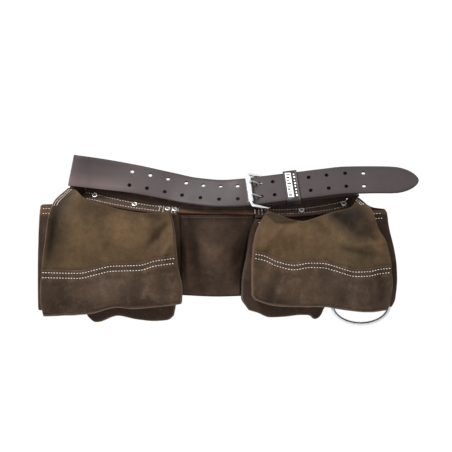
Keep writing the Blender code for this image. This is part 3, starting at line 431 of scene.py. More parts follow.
def smooth_leather(name, rough_at, cloudy, grain):
    """Finished bridle leather with a fine pebble, soft rub marks and a satin face."""
    k = Look(name)
    tone = k.times(k.cloud(14.0, 3.0, 0.5, 1 - cloudy, 1 + cloudy),
                   k.cloud(210.0, 5.0, 0.6, 0.975, 1.025, (0.25, 1.0, 1.0)))
    cells = k.add("TexVoronoi", {})
    cells.feature = "DISTANCE_TO_EDGE"
    k.fill(cells, {"Scale": 780.0, "Vector": k.coords})
    pebble = k.bump(k.remap(cells.outputs["Distance"], 0.0, 0.25, 0.0, 1.0), grain, 0.00022)
    return k.done(k.toned(tone), {
        "Roughness": k.cloud(75.0, 5.0, 0.6, rough_at - 0.06, rough_at + 0.09), "Specular IOR Level": 0.30,
        "Normal": k.bump(k.noise(40.0, 3.0, 0.5), 0.05, 0.0012, pebble)})


def flat_leather(name, rgb, rough_at):
    """Raw or burnished leather of one dye, with fibres."""
    k = Look(name, rgb)
    tone = k.times(k.cloud(120.0, 5.0, 0.65, 0.75, 1.25), k.cloud(700.0, 3.0, 0.7, 0.85, 1.15))
    return k.done(k.toned(tone), {"Roughness": rough_at, "Specular IOR Level": 0.25,
                                  "Normal": k.bump(k.noise(600.0, 4.0, 0.7), 0.3, 0.0004)})


def steel(name, rgb, rough_at, scratch):
    """Plated steel with faint drawn marks and handling scuffs."""
    k = Look(name, rgb)
    return k.done(k.toned(k.cloud(160.0, 5.0, 0.65, 1.04, 0.86, hi=0.75)), {
        "Metallic": 1.0, "Roughness": k.cloud(240.0, 5.0, 0.7, rough_at, rough_at + scratch * 2),
        "Normal": k.bump(k.noise(500.0, 4.0, 0.6, (0.3, 1.0, 1.0)), 0.05, 0.0003)})


def thread(name, rgb):
    """Bonded thread: small light and dark turns along it."""
    k = Look(name, rgb)
    return k.done(k.toned(k.cloud(900.0, 3.0, 0.6, 0.78, 1.08)), {
        "Roughness": 0.75, "Specular IOR Level": 0.2, "Normal": k.bump(k.noise(1600.0, 2.0, 0.6), 0.3,
                                                                       0.0003)})


def plain(name, rgb, rough_at):
    k = Look(name, rgb)
    return k.done(k.toned(k.cloud(300.0, 4.0, 0.6, 0.93, 1.05)),
                  {"Roughness": rough_at, "Specular IOR Level": 0.4})


LIFT = 0.80
M_SUEDE = suede("napped_suede", srgb(116, 96, 72), 0.14)
M_SCUFFED = suede("scuffed_suede", srgb(118, 98, 82), 0.30)
M_STRAP = smooth_leather("bridle_leather", 0.44, 0.045, 0.14)
M_LOOP = smooth_leather("loop_leather", 0.42, 0.08, 0.3)
M_EDGE = flat_leather("burnished_edge", srgb(44, 32, 30), 0.6)
M_FLESH = flat_leather("flesh_side", srgb(70, 56, 52), 0.85)
M_RAW = flat_leather("raw_suede_edge", srgb(58, 44, 34), 0.95)
M_ROLLER = steel("roller_plate", (0.93, 0.94, 0.97), 0.16, 0.05)
M_BUCKLE = steel("buckle_plate", (0.80, 0.80, 0.81), 0.20, 0.06)
M_PRONG = steel("prong_plate", (0.42, 0.42, 0.43), 0.26, 0.06)
M_RING = steel("ring_plate", (0.52, 0.53, 0.55), 0.24, 0.07)
M_RIVET = steel("rivet_plate", (0.84, 0.84, 0.82), 0.30, 0.08)
M_HUB = steel("rivet_hub", (0.16, 0.15, 0.14), 0.45, 0.08)
M_THREAD = thread("white_thread", srgb(222, 213, 200))
M_TAN_THREAD = thread("tan_thread", srgb(128, 104, 88))
M_LABEL = plain("label_ground", srgb(238, 238, 236), 0.5)
M_INK = plain("label_bars", srgb(34, 30, 32), 0.55)


# ------------------------------------------------------------- making pieces
def placed(name, data):
    """New object in the scene."""
    obj = bpy.data.objects.new(name, data)
    bpy.context.scene.collection.objects.link(obj)
    return obj


def raw_mesh(name, verts, faces, mats, index):
    """Mesh in metres from drawing millimetres; index gives each face its material."""
    mesh = bpy.data.meshes.new(name)
    mesh.from_pydata([(v[0] * MM, v[1] * MM, (v[2] + RISE) * MM) for v in verts], [], faces)
    for mat in mats:
        mesh.materials.append(mat)
    if index is not None:
        mesh.polygons.foreach_set("material_index", index)
    return mesh


def outward(mesh):
    """Turns every face outwards."""
    work = bmesh.new()
    work.from_mesh(mesh)
    bmesh.ops.recalc_face_normals(work, faces=work.faces[:])
    work.to_mesh(mesh)
    work.free()


def paint(mesh, tints):
    """One colour for each vertex, read by the leather materials; on the strap, the bags and the middle pocket
    it also holds painted light and shade.
    """
    layer = mesh.attributes.get("tint") or mesh.attributes.new("tint", "FLOAT_COLOR", "POINT")
    layer.data.foreach_set("color", [v for c in tints for v in (c[0], c[1], c[2], 1.0)])


def build(name, verts, faces, mats, nodes=(), body="apron", index=None, tints=None, smooth=True):
    """One visible piece from drawing millimetres, riding on a body of the part."""
    mesh = raw_mesh(name, verts, faces, mats, index)
    if tints is not None:
        paint(mesh, tints)
    mesh.polygons.foreach_set("use_smooth", [smooth] * len(mesh.polygons))
    outward(mesh)
    obj = placed(name, mesh)
    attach(obj, body)
    if nodes:
        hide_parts(*nodes)
    return obj


def crease(x, z, x0, z0, x1, z1, width):
    """Soft bump of height one along a line that fades at its ends."""
    dx, dz = x1 - x0, z1 - z0
    span = math.hypot(dx, dz)
    t = ((x - x0) * dx + (z - z0) * dz) / (span * span)
    off = ((x - x0) * dz - (z - z0) * dx) / span
    ends = step((t + 0.35) / 0.5) * step((1.35 - t) / 0.5)
    return math.exp(-(off / width) ** 2) * ends


def rough_ground(x, y, z, size, seed=0.0):
    """Smooth wandering value around zero."""
    return noise.noise(Vector((x / size + seed, y / size - seed, z / size + 3.1 * seed)))


def folded(folds, x, z):
    """Sum of creases given as x0, z0, x1, z1, half width, height."""
    return sum(f[5] * crease(x, z, f[0], f[1], f[2], f[3], f[4]) for f in folds)


def rim_of(n, m):
    """Grid places round a sheet: down one side, along the bottom, up the other, back along the top."""
    rim = [(i, 0) for i in range(n)] + [(n - 1, j) for j in range(1, m)]
    return rim + [(i, m - 1) for i in range(n - 2, -1, -1)] + [(0, j) for j in range(m - 2, 0, -1)]


def leather(name, grid, thick, mats, tint, nodes=(), push=None):
    """Sheet with a front, a back and a raw rim rounded in three steps."""
    n, m = len(grid), len(grid[0])
    push = push or [[Vector((0, thick, 0))] * m] * n
    places = [(i, j) for i in range(n) for j in range(m)]
    rim = rim_of(n, m)
    verts = [grid[i][j] for i, j in places]
    tints = [tint(p, 0) for p in verts]
    base = len(verts)
    verts += [grid[i][j] + push[i][j] for i, j in places]
    tints += [tint(p, 1) for p in verts[base:]]
    mid = len(verts)
    for i, j in rim:
        back = push[i][j]
        out = grid[i][j] - grid[clamp(i, 1, n - 2)][clamp(j, 1, m - 2)]
        out = out - back * (out.dot(back) / max(back.length_squared, 1e-9))
        out = out.normalized() * (abs(thick) * 0.22) if out.length > 1e-6 else Vector((0, 0, 0))
        verts.append(grid[i][j] + back * 0.5 + out)
        tints.append(tint(verts[-1], 2))
    faces = []
    for i in range(n - 1):
        for j in range(m - 1):
            a, b, c, d = i * m + j, i * m + j + 1, (i + 1) * m + j + 1, (i + 1) * m + j
            faces += [(a, b, c, d), (base + a, base + d, base + c, base + b)]
    index = [0, 1] * (len(faces) // 2) + [2] * (2 * len(rim))
    for k in range(len(rim)):
        q = (k + 1) % len(rim)
        a = rim[k][0] * m + rim[k][1]
        b = rim[q][0] * m + rim[q][1]
        faces += [(a, mid + k, mid + q, b), (mid + k, base + a, base + b, mid + q)]
    return build(name, verts, faces, mats, nodes, "apron", index, tints)


def quads(n, m, closed=False):
    """Faces between n rows of m section points; closed joins the last row to the first."""
    return [(i * m + j, i * m + (j + 1) % m, (i + 1) % n * m + (j + 1) % m, (i + 1) % n * m + j)
            for i in range(n if closed else n - 1) for j in range(m)]


def skin(name, rows, mats, nodes, body="apron", closed=False, tint=None, pick=lambda j: 0):
    """Skin through rows of section points; pick chooses the material of a side, -1 for the ends."""
    verts = [p for row in rows for p in row]
    n, m = len(rows), len(rows[0])
    faces = quads(n, m, closed)
    index = [pick(k % m) for k in range(len(faces))]
    if not closed:
        faces += [tuple(range(m)), tuple((n - 1) * m + j for j in range(m))]
        index += [pick(-1)] * 2
    return build(name, verts, faces, mats, nodes, body, index,
                 [tint(p) for p in verts] if tint else None)


def circle(c, a, b, r, sides):
    return [c + a * (r * math.cos(2 * math.pi * j / sides)) + b * (r * math.sin(2 * math.pi * j / sides))
            for j in range(sides)]


def wire_rows(points, radius, sides, closed):
    """Rings of a round wire; radius is a number or a function of the way along."""
    rows = []
    n = len(points)
    ref = None
    for i in range(n):
        a, b = (i - 1, (i + 1) % n) if closed else (max(i - 1, 0), min(i + 1, n - 1))
        t = (points[b] - points[a]).normalized()
        if ref is None:
            ref = Vector((0, 1, 0)) if abs(t.y) < 0.9 else Vector((0, 0, 1))
        ref = square(ref, t)
        r = radius(i / (n - 1)) if callable(radius) else radius
        rows.append(circle(points[i], ref, t.cross(ref), r, sides))
    return rows


def turned(name, centre, axis, side, profile, mats, node, body="apron", sides=28, pick=lambda i: 0):
    """Turned body from (along, radius) pairs, ends on the axis or as a ring."""
    axis = axis.normalized()
    side = square(side, axis)
    verts = []
    rows = []
    for h, r in profile:
        on_axis = r < 1e-6
        rows.append([len(verts) + (0 if on_axis else j) for j in range(sides)])
        verts += [centre + axis * h] if on_axis else circle(centre + axis * h, side, axis.cross(side), r,
                                                            sides)
    pairs = [(i, i + 1) for i in range(len(rows) - 1)]
    if profile[0][1] > 1e-6:
        pairs.append((len(rows) - 1, 0))
    faces = []
    for i, k in pairs:
        for j in range(sides):
            q = (j + 1) % sides
            faces.append(tuple(dict.fromkeys((rows[i][j], rows[i][q], rows[k][q], rows[k][j]))))
    return build(name, verts, faces, mats, [node], body,
                 [pick(i) for i, k in pairs for j in range(sides)])


def mirrored(half, middle, reach):
    """A profile with the same (inset, height) steps at both ends."""
    return [(d - reach, r) for d, r in half] + [middle] + [(reach - d, r) for d, r in reversed(half)]


def round_box(x0, x1, y0, y1, r, steps):
    """Points of a rectangle with rounded corners."""
    corners = ((x1 - r, y1 - r, 0), (x0 + r, y1 - r, 90), (x0 + r, y0 + r, 180), (x1 - r, y0 + r, 270))
    turns = [(cx, cy, math.radians(a0 + 90 * k / steps)) for cx, cy, a0 in corners for k in range(steps + 1)]
    return [(cx + r * math.cos(w), cy + r * math.sin(w)) for cx, cy, w in turns]


def joined(parts):
    """Several (verts, faces) solids as one."""
    verts = []
    faces = []
    for vs, fs in parts:
        base = len(verts)
        verts += vs
        faces += [tuple(base + i for i in f) for f in fs]
    return verts, faces


# ------------------------------------------------------------- stitching
STITCH_PITCH = 4.5
STITCH_LEN = 2.9
STITCH_R = 0.52
STITCH_SIDES = 6
# rings of one stitch: place along it, width, rise out of the leather
STITCH_SHAPE = ((-0.5, 0.0, -0.55), (-0.42, 0.62, -0.2), (-0.2, 0.95, 0.05), (0.2, 1.0, 0.05),
                (0.42, 0.62, -0.2), (0.5, 0.0, -0.55))


class Seams:
    """Gathers single stitches into one mesh per group."""

    def __init__(self):
        self.verts = []
        self.faces = []

    def one(self, centre, along, out, length, radius):
        along = along.normalized()
        out = square(out, along)
        side = along.cross(out)
        m = STITCH_SIDES
        base = len(self.verts)
        for s, r, rise in STITCH_SHAPE:
            mid = centre + along * (s * length) + out * (rise * radius)
            turns = [2 * math.pi * j / m for j in range(m)] if r > 0.0 else [0.0]
            self.verts += [mid + side * (r * radius * math.cos(w)) + out * (r * radius * 0.8 * math.sin(w))
                           for w in turns]
        first = base + 1
        last = first + 4 * m
        self.faces += [(base, first + j, first + (j + 1) % m) for j in range(m)]
        self.faces += [(a + j, a + m + j, a + m + (j + 1) % m, a + (j + 1) % m)
                       for a in (first, first + m, first + 2 * m) for j in range(m)]
        self.faces += [(last, last - m + (j + 1) % m, last - m + j) for j in range(m)]

    def row(self, points, outs, pitch=STITCH_PITCH, start=1.2, radius=STITCH_R):
        """Stitches at an even pitch along a line; outs is the surface normal, or one for each point."""
        if isinstance(outs, Vector):
            outs = [outs] * len(points)
        run = 0.0
        nxt = start
        for k in range(len(points) - 1):
            a, b = points[k], points[k + 1]
            d = (b - a).length
            while d > 1e-9 and nxt <= run + d:
                t = (nxt - run) / d
                c = a.lerp(b, t)
                o = outs[k].lerp(outs[k + 1], t)
                lean = (b - a).normalized()
                lean = lean + lean.cross(o.normalized()) * (0.07 + 0.10 * noise.noise(c * 0.37))
                self.one(c, lean, o, STITCH_LEN * (0.95 + 0.25 * noise.noise(c * 0.21)), radius)
                nxt += pitch * (1.0 + 0.06 * noise.noise(c * 0.51))
            run += d

    def done(self, name, slot, mat=M_THREAD):
        return build(name, self.verts, self.faces, [mat])


# ------------------------------------------------------------- painted tints, painted light and shade
def mix3(a, b, w):
    return tuple(p + (q - p) * w for p, q in zip(a, b))


def gain(c, f):
    return (c[0] * f, c[1] * f, c[2] * f)


def glow(c, rgb, power, gap, width):
    """Tint that fades with the distance from a line."""
    return mix3(c, rgb, power * math.exp(-(gap / width) ** 2))


def spots(base, x, z, places):
    """Colour that changes smoothly from place to place, the suede's own patches and painted light and shade
    alike: (x, z, reach in x, reach in z, colour, strength).
    """
    c = base
    for cx, cz, rx, rz, rgb, power in places:
        near = math.exp(-(((x - cx) / rx) ** 2 + ((z - cz) / rz) ** 2))
        c = mix3(c, rgb, min(1.0, power * near))
    return c


# ------------------------------------------------------------- belt strap
REAR_OUT = 206.0
REAR_IN = -218.5
FOLD_END = 198.0
TIP_RUNS = [0.0, 0.3, 0.8, 1.6, 2.8, 4.4, 6.4, 9.0, 12.0, 15.5, 19.5, 24.0, 29.0, 34.0]


def strap_line():
    """Centre, direction and width of the strap from the tongue's tip to the riveted fold."""
    path = []
    for x in [TIP_X - r for r in TIP_RUNS] + spread(TIP_X - 46.0, BEND_X, 4.0):
        p, t, u, n = line_frame(FRONT, x)
        path.append((p, -t, u))
    rear = [line_frame(REAR, x)[:3] for x in spread(REAR_IN, REAR_OUT, 5.0)]
    path += turn(path[-1], rear[0], 30, 62.0) + rear
    under = []
    for x in spread(FOLD_END, 92.0, 5.0):
        p, t, u, n = line_frame(FRONT, x)
        under.append((p - n * UNDER_N, -t, u))
    path += turn(path[-1], under[0], 26, 70.0) + under
    for k in range(15):
        a = math.pi * k / 14
        pos = HEEL - BT * (FOLD_R * math.sin(a)) + BN * (FOLD_R * math.cos(a))
        path.append((pos, -BT * math.cos(a) - BN * math.sin(a), BU))
    for k in range(1, 10):
        s = FOLD_BACK * k / 9
        rise = (2 * FOLD_R - BELT_T - 0.5) * step(s / FOLD_CLOSE)
        path.append((HEEL + BT * s - BN * (FOLD_R - rise), BT, BU))
    out = []
    for k, (pos, tan, u) in enumerate(path):
        d = (path[min(k + 1, len(path) - 1)][0] - path[max(k - 1, 0)][0]).normalized()
        out.append((pos, d, square(u, d)))
    return out


ACROSS = [1.0, 0.75, 0.5, 0.25, 0.0, -0.25, -0.5, -0.75, -1.0]


def strap_section(pos, u, nrm, half):
    e = min(1.0, half * 0.6)
    t = BELT_T / 2
    pts = [((half - e) * a, t) for a in ACROSS]
    pts += [(-half + 0.3 * e, t - 0.3 * e), (-half, t - e), (-half, -t + e), (-half + 0.3 * e, -t + 0.3 * e)]
    pts += [((half - e) * a, -t) for a in reversed(ACROSS)]
    pts += [(half - 0.3 * e, -t + 0.3 * e), (half, -t + e), (half, t - e), (half - 0.3 * e, t - 0.3 * e)]
    return [pos + u * a + nrm * b for a, b in pts]


def strap_side(j):
    """Material of a side of the strap's section: grain outside, edge, flesh inside."""
    if 0 <= j < 8:
        return 2
    return 0 if 13 <= j < 21 else 1


# Painted light and shade on the strap: lighter along the bottom and darker along the top at the left end,
# darker towards both edges of its width, darker towards the right and the tip.
def strap_tint(p):
    x, z = p.x, p.z
    left = step((-x - 120.0) / 70.0)
    v = clamp((z - curve(FRONT, clamp(x, -224.0, 322.0), 1)) / 24.0, -1.0)
    c = gain(srgb(114, 98, 97), 1.0 + left * (-0.30 * max(0.0, v) + 1.35 * max(0.0, -v)))
    c = gain(c, 0.37 - 0.10 * step((x + 190.0) / 170.0) - 0.04 * v * v)
    c = gain(c, 1.0 - 0.08 * step((x - 60.0) / 60.0) - 0.10 * step((x - 282.0) / 30.0))
    # painted shade line in the bend at the strap's left end
    c = gain(c, 1.0 - 0.12 * crease(x, z, -207.0, 132.0, -205.0, 88.0, 4.0))
    return gain(c, LIFT)


rows = []
for k, (pos, tan, u) in enumerate(strap_line()):
    half = BELT_W / 2
    run = TIP_X - pos.x
    if k < len(TIP_RUNS) and run < TIP_ZONE:
        r = max(run, 0.02) / TIP_ZONE
        half = max(0.5, half * (1.0 - (1.0 - r) ** 1.9) ** 0.6)
    rows.append(strap_section(pos, u, tan.cross(u).normalized(), half))
strap = skin("strap", rows, [M_STRAP, M_EDGE, M_FLESH], ["belt_strap"], pick=strap_side)


def carve(target, parts):
    """Cuts closed solids out of a piece and leaves burnished walls."""
    verts, faces = joined(parts)
    mesh = raw_mesh("cutter", verts, faces, [M_STRAP, M_EDGE], [1] * len(faces))
    outward(mesh)
    tool = placed("cutter", mesh)
    tool.hide_render = True
    mod = target.modifiers.new("cut", "BOOLEAN")
    mod.operation = "DIFFERENCE"
    mod.solver = "EXACT"
    mod.object = tool
    bpy.context.view_layer.update()
    graph = bpy.context.evaluated_depsgraph_get()
    made = bpy.data.meshes.new_from_object(target.evaluated_get(graph))
    target.modifiers.clear()
    target.data = made
    bpy.data.objects.remove(tool, do_unlink=True)


def prism(sections):
    """Closed solid through equal rings."""
    n, m = len(sections), len(sections[0])
    ends = [tuple(range(m)), tuple((n - 1) * m + j for j in range(m))]
    return [p for s in sections for p in s], ends + quads(n, m)


def peg(centre, axis, radius, depth, sides, flare):
    """Round cutter that widens towards both faces."""
    axis = axis.normalized()
    side = square(Vector((0.3, 0.2, 0.9)), axis)
    return prism([circle(centre + axis * h, side, axis.cross(side), r, sides)
                  for h, r in ((-depth, radius + flare), (0.0, radius), (depth, radius + flare))])


# the prongs fill one column of holes; the prong's clearance to the roller and its reach past it
PRONG_COLUMN = 7
FIRST_HOLE = BUCKLE_X + 9.8
PRONG_GAP = 0.35
PRONG_OVER = 2.6
parts = []
for k in range(HOLE_COLUMNS):
    if k == PRONG_COLUMN:
        continue
    fr = line_frame(FRONT, FIRST_HOLE + HOLE_PITCH * (k - PRONG_COLUMN))
    for side in (1, -1):
        parts.append(peg(at(fr, 0, side * ROW_SPACING / 2, 0), fr[3], HOLE_D / 2 - 0.1, BELT_T * 0.5 + 0.9,
                         22, 0.5))
carve(strap, parts)

ROLL = at(BUCKLE, 0, 0, CLEAR_N + ROLLER_R)
to_roll = ROLL - HEEL
to_roll = to_roll - BU * to_roll.dot(BU)
pitch = math.asin((ROLLER_R + PRONG_R + PRONG_GAP) / to_roll.length)
aim = to_roll.normalized()
lift = BU.cross(aim).normalized()
if lift.dot(BN) < 0:
    lift = -lift
prong_dir = (aim * math.cos(pitch) + lift * math.sin(pitch)).normalized()
PRONG_LEN = to_roll.length * math.cos(pitch) + PRONG_OVER

# the prongs' own holes lean with them
HOLE_LEAN = math.radians(2.4)
parts = []
for side in (1, -1):
    base = HEEL + BU * (side * ROW_SPACING / 2)
    d = (prong_dir * math.cos(HOLE_LEAN) + lift * math.sin(HOLE_LEAN)).normalized()
    rise = BU.cross(d).normalized()
    parts.append(prism([[base + d * reach + rise * (3.75 * math.cos(w)) + BU * (2.6 * math.sin(w))
                         for w in [2 * math.pi * (j + 0.5) / 20 for j in range(20)]] for reach in (8.5,
                                                                                                   26.0)]))
carve(strap, parts)

# slots in the belt's fold for the prongs' eyes
SLOT = ((-3.7, -9.0), (3.55, -9.0), (3.55, 9.0), (-3.7, 9.0))
parts = []
for side in (1, -1):
    c = HEEL + BU * (side * ROW_SPACING / 2)
    parts.append(prism([[c + BT * s + BU * v + BN * w for v, w in SLOT] for s in (-9.0, 6.0)]))
carve(strap, parts)
strap.data.set_sharp_from_angle(angle=math.radians(50))
paint(strap.data, [strap_tint(Vector((v.co.x / MM, v.co.y / MM,
                                      v.co.z / MM - RISE))) for v in strap.data.vertices])

# ------------------------------------------------------------- buckle
half_in = FRAME_IN / 2 + WIRE_R
away = HEEL - ROLL
span = away.length
away = square(away, BU)
loop = [ROLL + away * a + BU * b for a, b in round_box(0.0, span, -half_in, half_in, 5.5, 10)]
skin("buckle_wire", wire_rows(loop, WIRE_R, 22, True), [M_BUCKLE], ["buckle_frame"], "frame",
     True)
ROLLER_END = [(0.0, WIRE_R + 0.1), (0.0, ROLLER_R - 0.7), (0.2, ROLLER_R - 0.3), (0.6, ROLLER_R),
              (8.0, ROLLER_R), (8.3, ROLLER_R - 0.12), (8.6, ROLLER_R)]
turned("roller_tube", ROLL, BU, BN, mirrored(ROLLER_END, (0.0, ROLLER_R + 0.02), half_in - 5.0 - 0.5),
       [M_ROLLER], "buckle_roller", "roller", 44)


def prong_radius(t):
    """Thin round the eye, full along the prong, rounded at its tip."""
    return 1.02 if t < 0.62 else 1.02 + 0.55 * step((t - 0.62) / 0.12) - 0.75 * step((t - 0.93) / 0.07)


EYE = WIRE_R + 0.1 + 1.05
side_dir = BU.cross(prong_dir).normalized()
for side, node, body in ((1, "prong_upper", "prong_up"), (-1, "prong_lower", "prong_low")):
    base = HEEL + BU * (side * ROW_SPACING / 2)
    pts = []
    for k in range(25):
        w = math.radians(26 + 322 * k / 24)
        pts.append(base + (prong_dir * math.cos(w) + side_dir * math.sin(w)) * EYE
                   + BU * (0.5 * (k / 24 - 0.5)))
    pts.append(base + prong_dir * (EYE + 2.2) - side_dir * 0.5)
    pts += [base + prong_dir * (EYE + 4.0 + (PRONG_LEN - EYE - 4.0) * k / 8) for k in range(9)]
    skin("prong_wire_" + node[6:], wire_rows(pts, prong_radius, 16, False), [M_PRONG], [node],
         body)

# ------------------------------------------------------------- keeper and its label
mid_n = -UNDER_N / 2
in_u = BELT_W / 2 + KEEPER_PLAY
in_n = (BELT_T + UNDER_N) / 2 + KEEPER_PLAY
kf = line_frame(FRONT, KEEPER_X)
KEEPER_END = [(0.6, 0.0), (0.0, 0.5), (0.0, KEEPER_WALL - 0.6), (0.7, KEEPER_WALL), (2.0, KEEPER_WALL),
              (2.5, KEEPER_WALL - 0.25), (3.0, KEEPER_WALL)]


def loop_tint(p):
    s = (p - kf[0]).dot(kf[1])
    return gain(mix3(srgb(62, 54, 54), srgb(92, 82, 82), step((s - 7.0) / 3.0)), LIFT * 0.6)


rows = [[at(kf, s, a, mid_n + b) for a, b in round_box(-in_u - g, in_u + g, -in_n - g, in_n + g, 1.4 + g, 8)]
        for s, g in mirrored(KEEPER_END, (0.0, KEEPER_WALL), KEEPER_W / 2)]
skin("keeper_band", rows, [M_LOOP], ["keeper_loop"], "keeper", True, loop_tint)
pad_n = mid_n + in_n + KEEPER_WALL + 0.12
LABEL_SLANT = -0.10
BOX_SIDES = [(0, 1, 2, 3), (4, 5, 6, 7), (0, 1, 5, 4), (1, 2, 6, 5), (2, 3, 7, 6), (3, 0, 4, 7)]


def tab_box(s0, s1, v0, v1, n0, n1):
    """Leaning box on the keeper's face."""
    corners = ((s0, v0), (s1, v0), (s1, v1), (s0, v1))
    return [at(kf, s, v + LABEL_SLANT * s, n) for n in (n0, n1) for s, v in corners], BOX_SIDES


def boxes(name, items, mat, nodes=()):
    verts, faces = joined(items)
    build(name, verts, faces, [mat], nodes, "keeper", smooth=False)


boxes("label_panel", [tab_box(-8.0, 1.0, -22.5, 22.5, pad_n, pad_n + 0.5)], M_LABEL, ["keeper_label"])
bars = []
dots = []
for k in range(8):
    v = 19.0 - 5.4 * k
    tall = 2.9 if k % 2 else 1.9
    bars.append(tab_box(-6.8, -0.4 - 1.2 * (k % 3), v - tall / 2, v + tall / 2, pad_n + 0.5, pad_n + 0.62))
    v = 19.5 - 5.6 * k
    dots.append(tab_box(4.6, 6.4 + 0.9 * (k % 2), v - 1.0, v + 1.1 + 0.5 * ((k + 1) % 3), pad_n - 0.1,
                        pad_n + 0.08))
boxes("label_bars", bars, M_INK)
boxes("label_marks", dots, M_LABEL)

# ------------------------------------------------------------- rivets
RIVETS = [(-185.0, 7.5), (-125.0, 8.5), (-76.5, 9.6), (-65.2, 10.0), (132.0, 10.0), (195.0, 10.0)]
RIVET_FACE = SUEDE + FLAP_GAP + 0.5
# flat cap behind the flap, then the rolled cap and its hollow in front, as rises from the two faces
CAP_BACK = [(-0.9, 0.0), (-0.9, 3.0), (-0.5, 3.8), (0.0, 4.0), (0.0, 1.45)]
CAP_FRONT = [(0.0, 1.45), (0.0, 4.35), (0.35, 4.5), (0.85, 4.2), (1.2, 3.5), (1.15, 2.8), (0.8, 2.2),
             (0.35, 1.9),
             (0.25, 1.1), (0.5, 0.5), (0.55, 0.0)]
for k, (x, drop) in enumerate(RIVETS):
    fr = line_frame(REAR, x)
    c, ahead, behind = (at(line_frame(REAR, s), 0, -CLEAR_U - drop, 0) for s in (x, x + 2.0, x - 2.0))
    axis = fr[2].cross(ahead - behind).normalized()
    turned("rivet_%d" % (k + 1), c, -axis if axis.y > 0 else axis, fr[2],
           [(h - RIVET_FACE, r) for h, r in CAP_BACK] + [(h + RIVET_FACE, r) for h, r in CAP_FRONT],
           [M_RIVET, M_HUB], "band_rivet_%d" % (k + 1), pick=lambda i: 1 if i >= 10 else 0)
STUD_LOW = -BELT_T * 1.5
STUD_TOP = BELT_T / 2
for k, v in enumerate((13.0, -13.0)):
    turned("fold_stud_%d" % (k + 1), at(BUCKLE, HEEL_S + FOLD_RIVET, v, -UNDER_N), BN, BU,
           [(STUD_LOW - 1.6, 0.0), (STUD_LOW - 1.6, 3.2), (STUD_LOW - 1.2, 3.9), (STUD_LOW - 0.8, 4.0),
            (STUD_LOW - 0.8, 1.5), (STUD_TOP + 0.3, 1.5), (STUD_TOP + 0.3, 4.0), (STUD_TOP + 0.7, 3.9),
            (STUD_TOP + 0.9, 3.4), (STUD_TOP + 0.9, 0.0)], [M_RIVET],
            "fold_rivet_%d" % (k + 1))


# ------------------------------------------------------------- sleeves that carry the belt
def closed_round(points, per):
    """Closed ring smoothed through its points."""
    n = len(points)
    out = []
    for i in range(n):
        near = list(zip(points[i - 1], points[i], points[(i + 1) % n], points[(i + 2) % n]))
        for k in range(per):
            f = k / per
            out.append(tuple(0.5 * ((2 * b) + (c - a) * f + (2 * a - 5 * b + 4 * c - d) * f * f
                                    + (3 * b - a - 3 * c + d) * f ** 3) for a, b, c, d in near))
    return out


def band_tint(p):
    gap = p.z - band_low(p.x)[0]
    c = srgb(66, 52, 44)
    if BAND_C[0] < p.x < BAND_C[1]:
        c = glow(c, srgb(120, 72, 52), 0.85, gap - 0.3, 1.2)
        c = glow(c, srgb(92, 74, 62), 0.5, gap - 3.6, 1.2)
    else:
        c = glow(c, srgb(84, 64, 52), 0.5, gap - 0.3, 1.6)
    return gain(mix3(c, srgb(34, 34, 28), 0.6 * step((p.x - 182.0) / 22.0)), LIFT)


def sleeve(side, ends, flap):
    """Closed tube of suede round the belt with its two layers sewn into a flap below."""
    u, n, t = CLEAR_U, CLEAR_N, SUEDE
    skin_t = t + FLAP_GAP
    ring_o = closed_round([(u + t * 0.6, n + 0.4), (u + t, 0.0), (u + t * 0.6, -n - 0.4), (u * 0.7, -n - t),
                           (-u + 2.0, -n - t), (-u - 3.0, -skin_t), (-u - flap, -skin_t), (-u - flap, skin_t),
                           (-u - 3.0, skin_t), (-u + 2.0, n + t), (u * 0.7, n + t)], 4)
    ring_i = closed_round([(u, n * 0.9), (u + 0.3, 0.0), (u, -n * 0.9), (u * 0.7, -n), (-u * 0.5, -n),
                           (-u, -n * 0.9),
                           (-u - 0.4, -0.5), (-u - 0.4, 0.5), (-u, n * 0.9), (-u * 0.5, n), (u * 0.7, n)], 4)
    xs = spread(ends[0], ends[1], 3.0)
    verts = []
    for x in xs:
        fr = line_frame(REAR, x)
        for a, b in ring_o:
            w = 0.35 * rough_ground(x, a, b, 13.0, 2.0) + 0.18 * rough_ground(x, a, b, 5.0, 4.0)
            verts.append(at(fr, 0, a, b + (w if b > 0 else -w)))
    base = len(verts)
    for x in xs:
        fr = line_frame(REAR, x)
        verts += [at(fr, 0, a, b) for a, b in ring_i]
    m = len(ring_o)
    tube = quads(len(xs), m)
    faces = [f for a, b, c, d in tube for f in ((a, b, c, d), (base + a, base + d, base + c, base + b))]
    index = [0] * len(faces) + [1] * (2 * m)
    for start in (0, (len(xs) - 1) * m):
        for j in range(m):
            a, b = start + j, start + (j + 1) % m
            faces.append((a, base + a, base + b, b))
    build("sleeve_" + side, verts, faces, [M_SUEDE, M_RAW], ["band_" + side], "apron", index,
          [band_tint(p) for p in verts])


sleeve("left", BAND_L, FLAP_SIDE)
sleeve("centre", BAND_C, FLAP_MID)
sleeve("right", BAND_R, FLAP_SIDE)

seams = Seams()


def band_row(x0, x1, drop, side):
    """A row of stitches along a sleeve's flap, drop below the belt, on the front or the back."""
    places = [line_frame(REAR, x) for x in spread(x0, x1, 2.5)]
    seams.row([at(f, 0, -CLEAR_U - drop, side * (SUEDE + 0.35)) for f in places],
              [f[3] * side for f in places])


for side in (1, -1):
    for x0, x1 in ((BAND_L[0] + 3.0, BAND_L[1] - 26.0), (BAND_R[0] + 10.0, BAND_R[1] - 2.0)):
        for drop in (5.6, 15.8):
            band_row(x0, x1, drop, side)
    for x in (-88.8, -83.4, -69.6, -64.6, 66.6, 71.6):
        fr = line_frame(REAR, x)
        pts = [at(fr, 0, -CLEAR_U - (3.2 + (17.0 - 3.2) * k / 8), side * (SUEDE + 0.4)) for k in range(9)]
        seams.row(pts, fr[3] * side, 3.2, 0.8)
band_row(BAND_C[0] + 2.0, BAND_C[1] - 2.0, 9.6, -1)
seams.done("sleeve_stitching", "sleeve_suede")
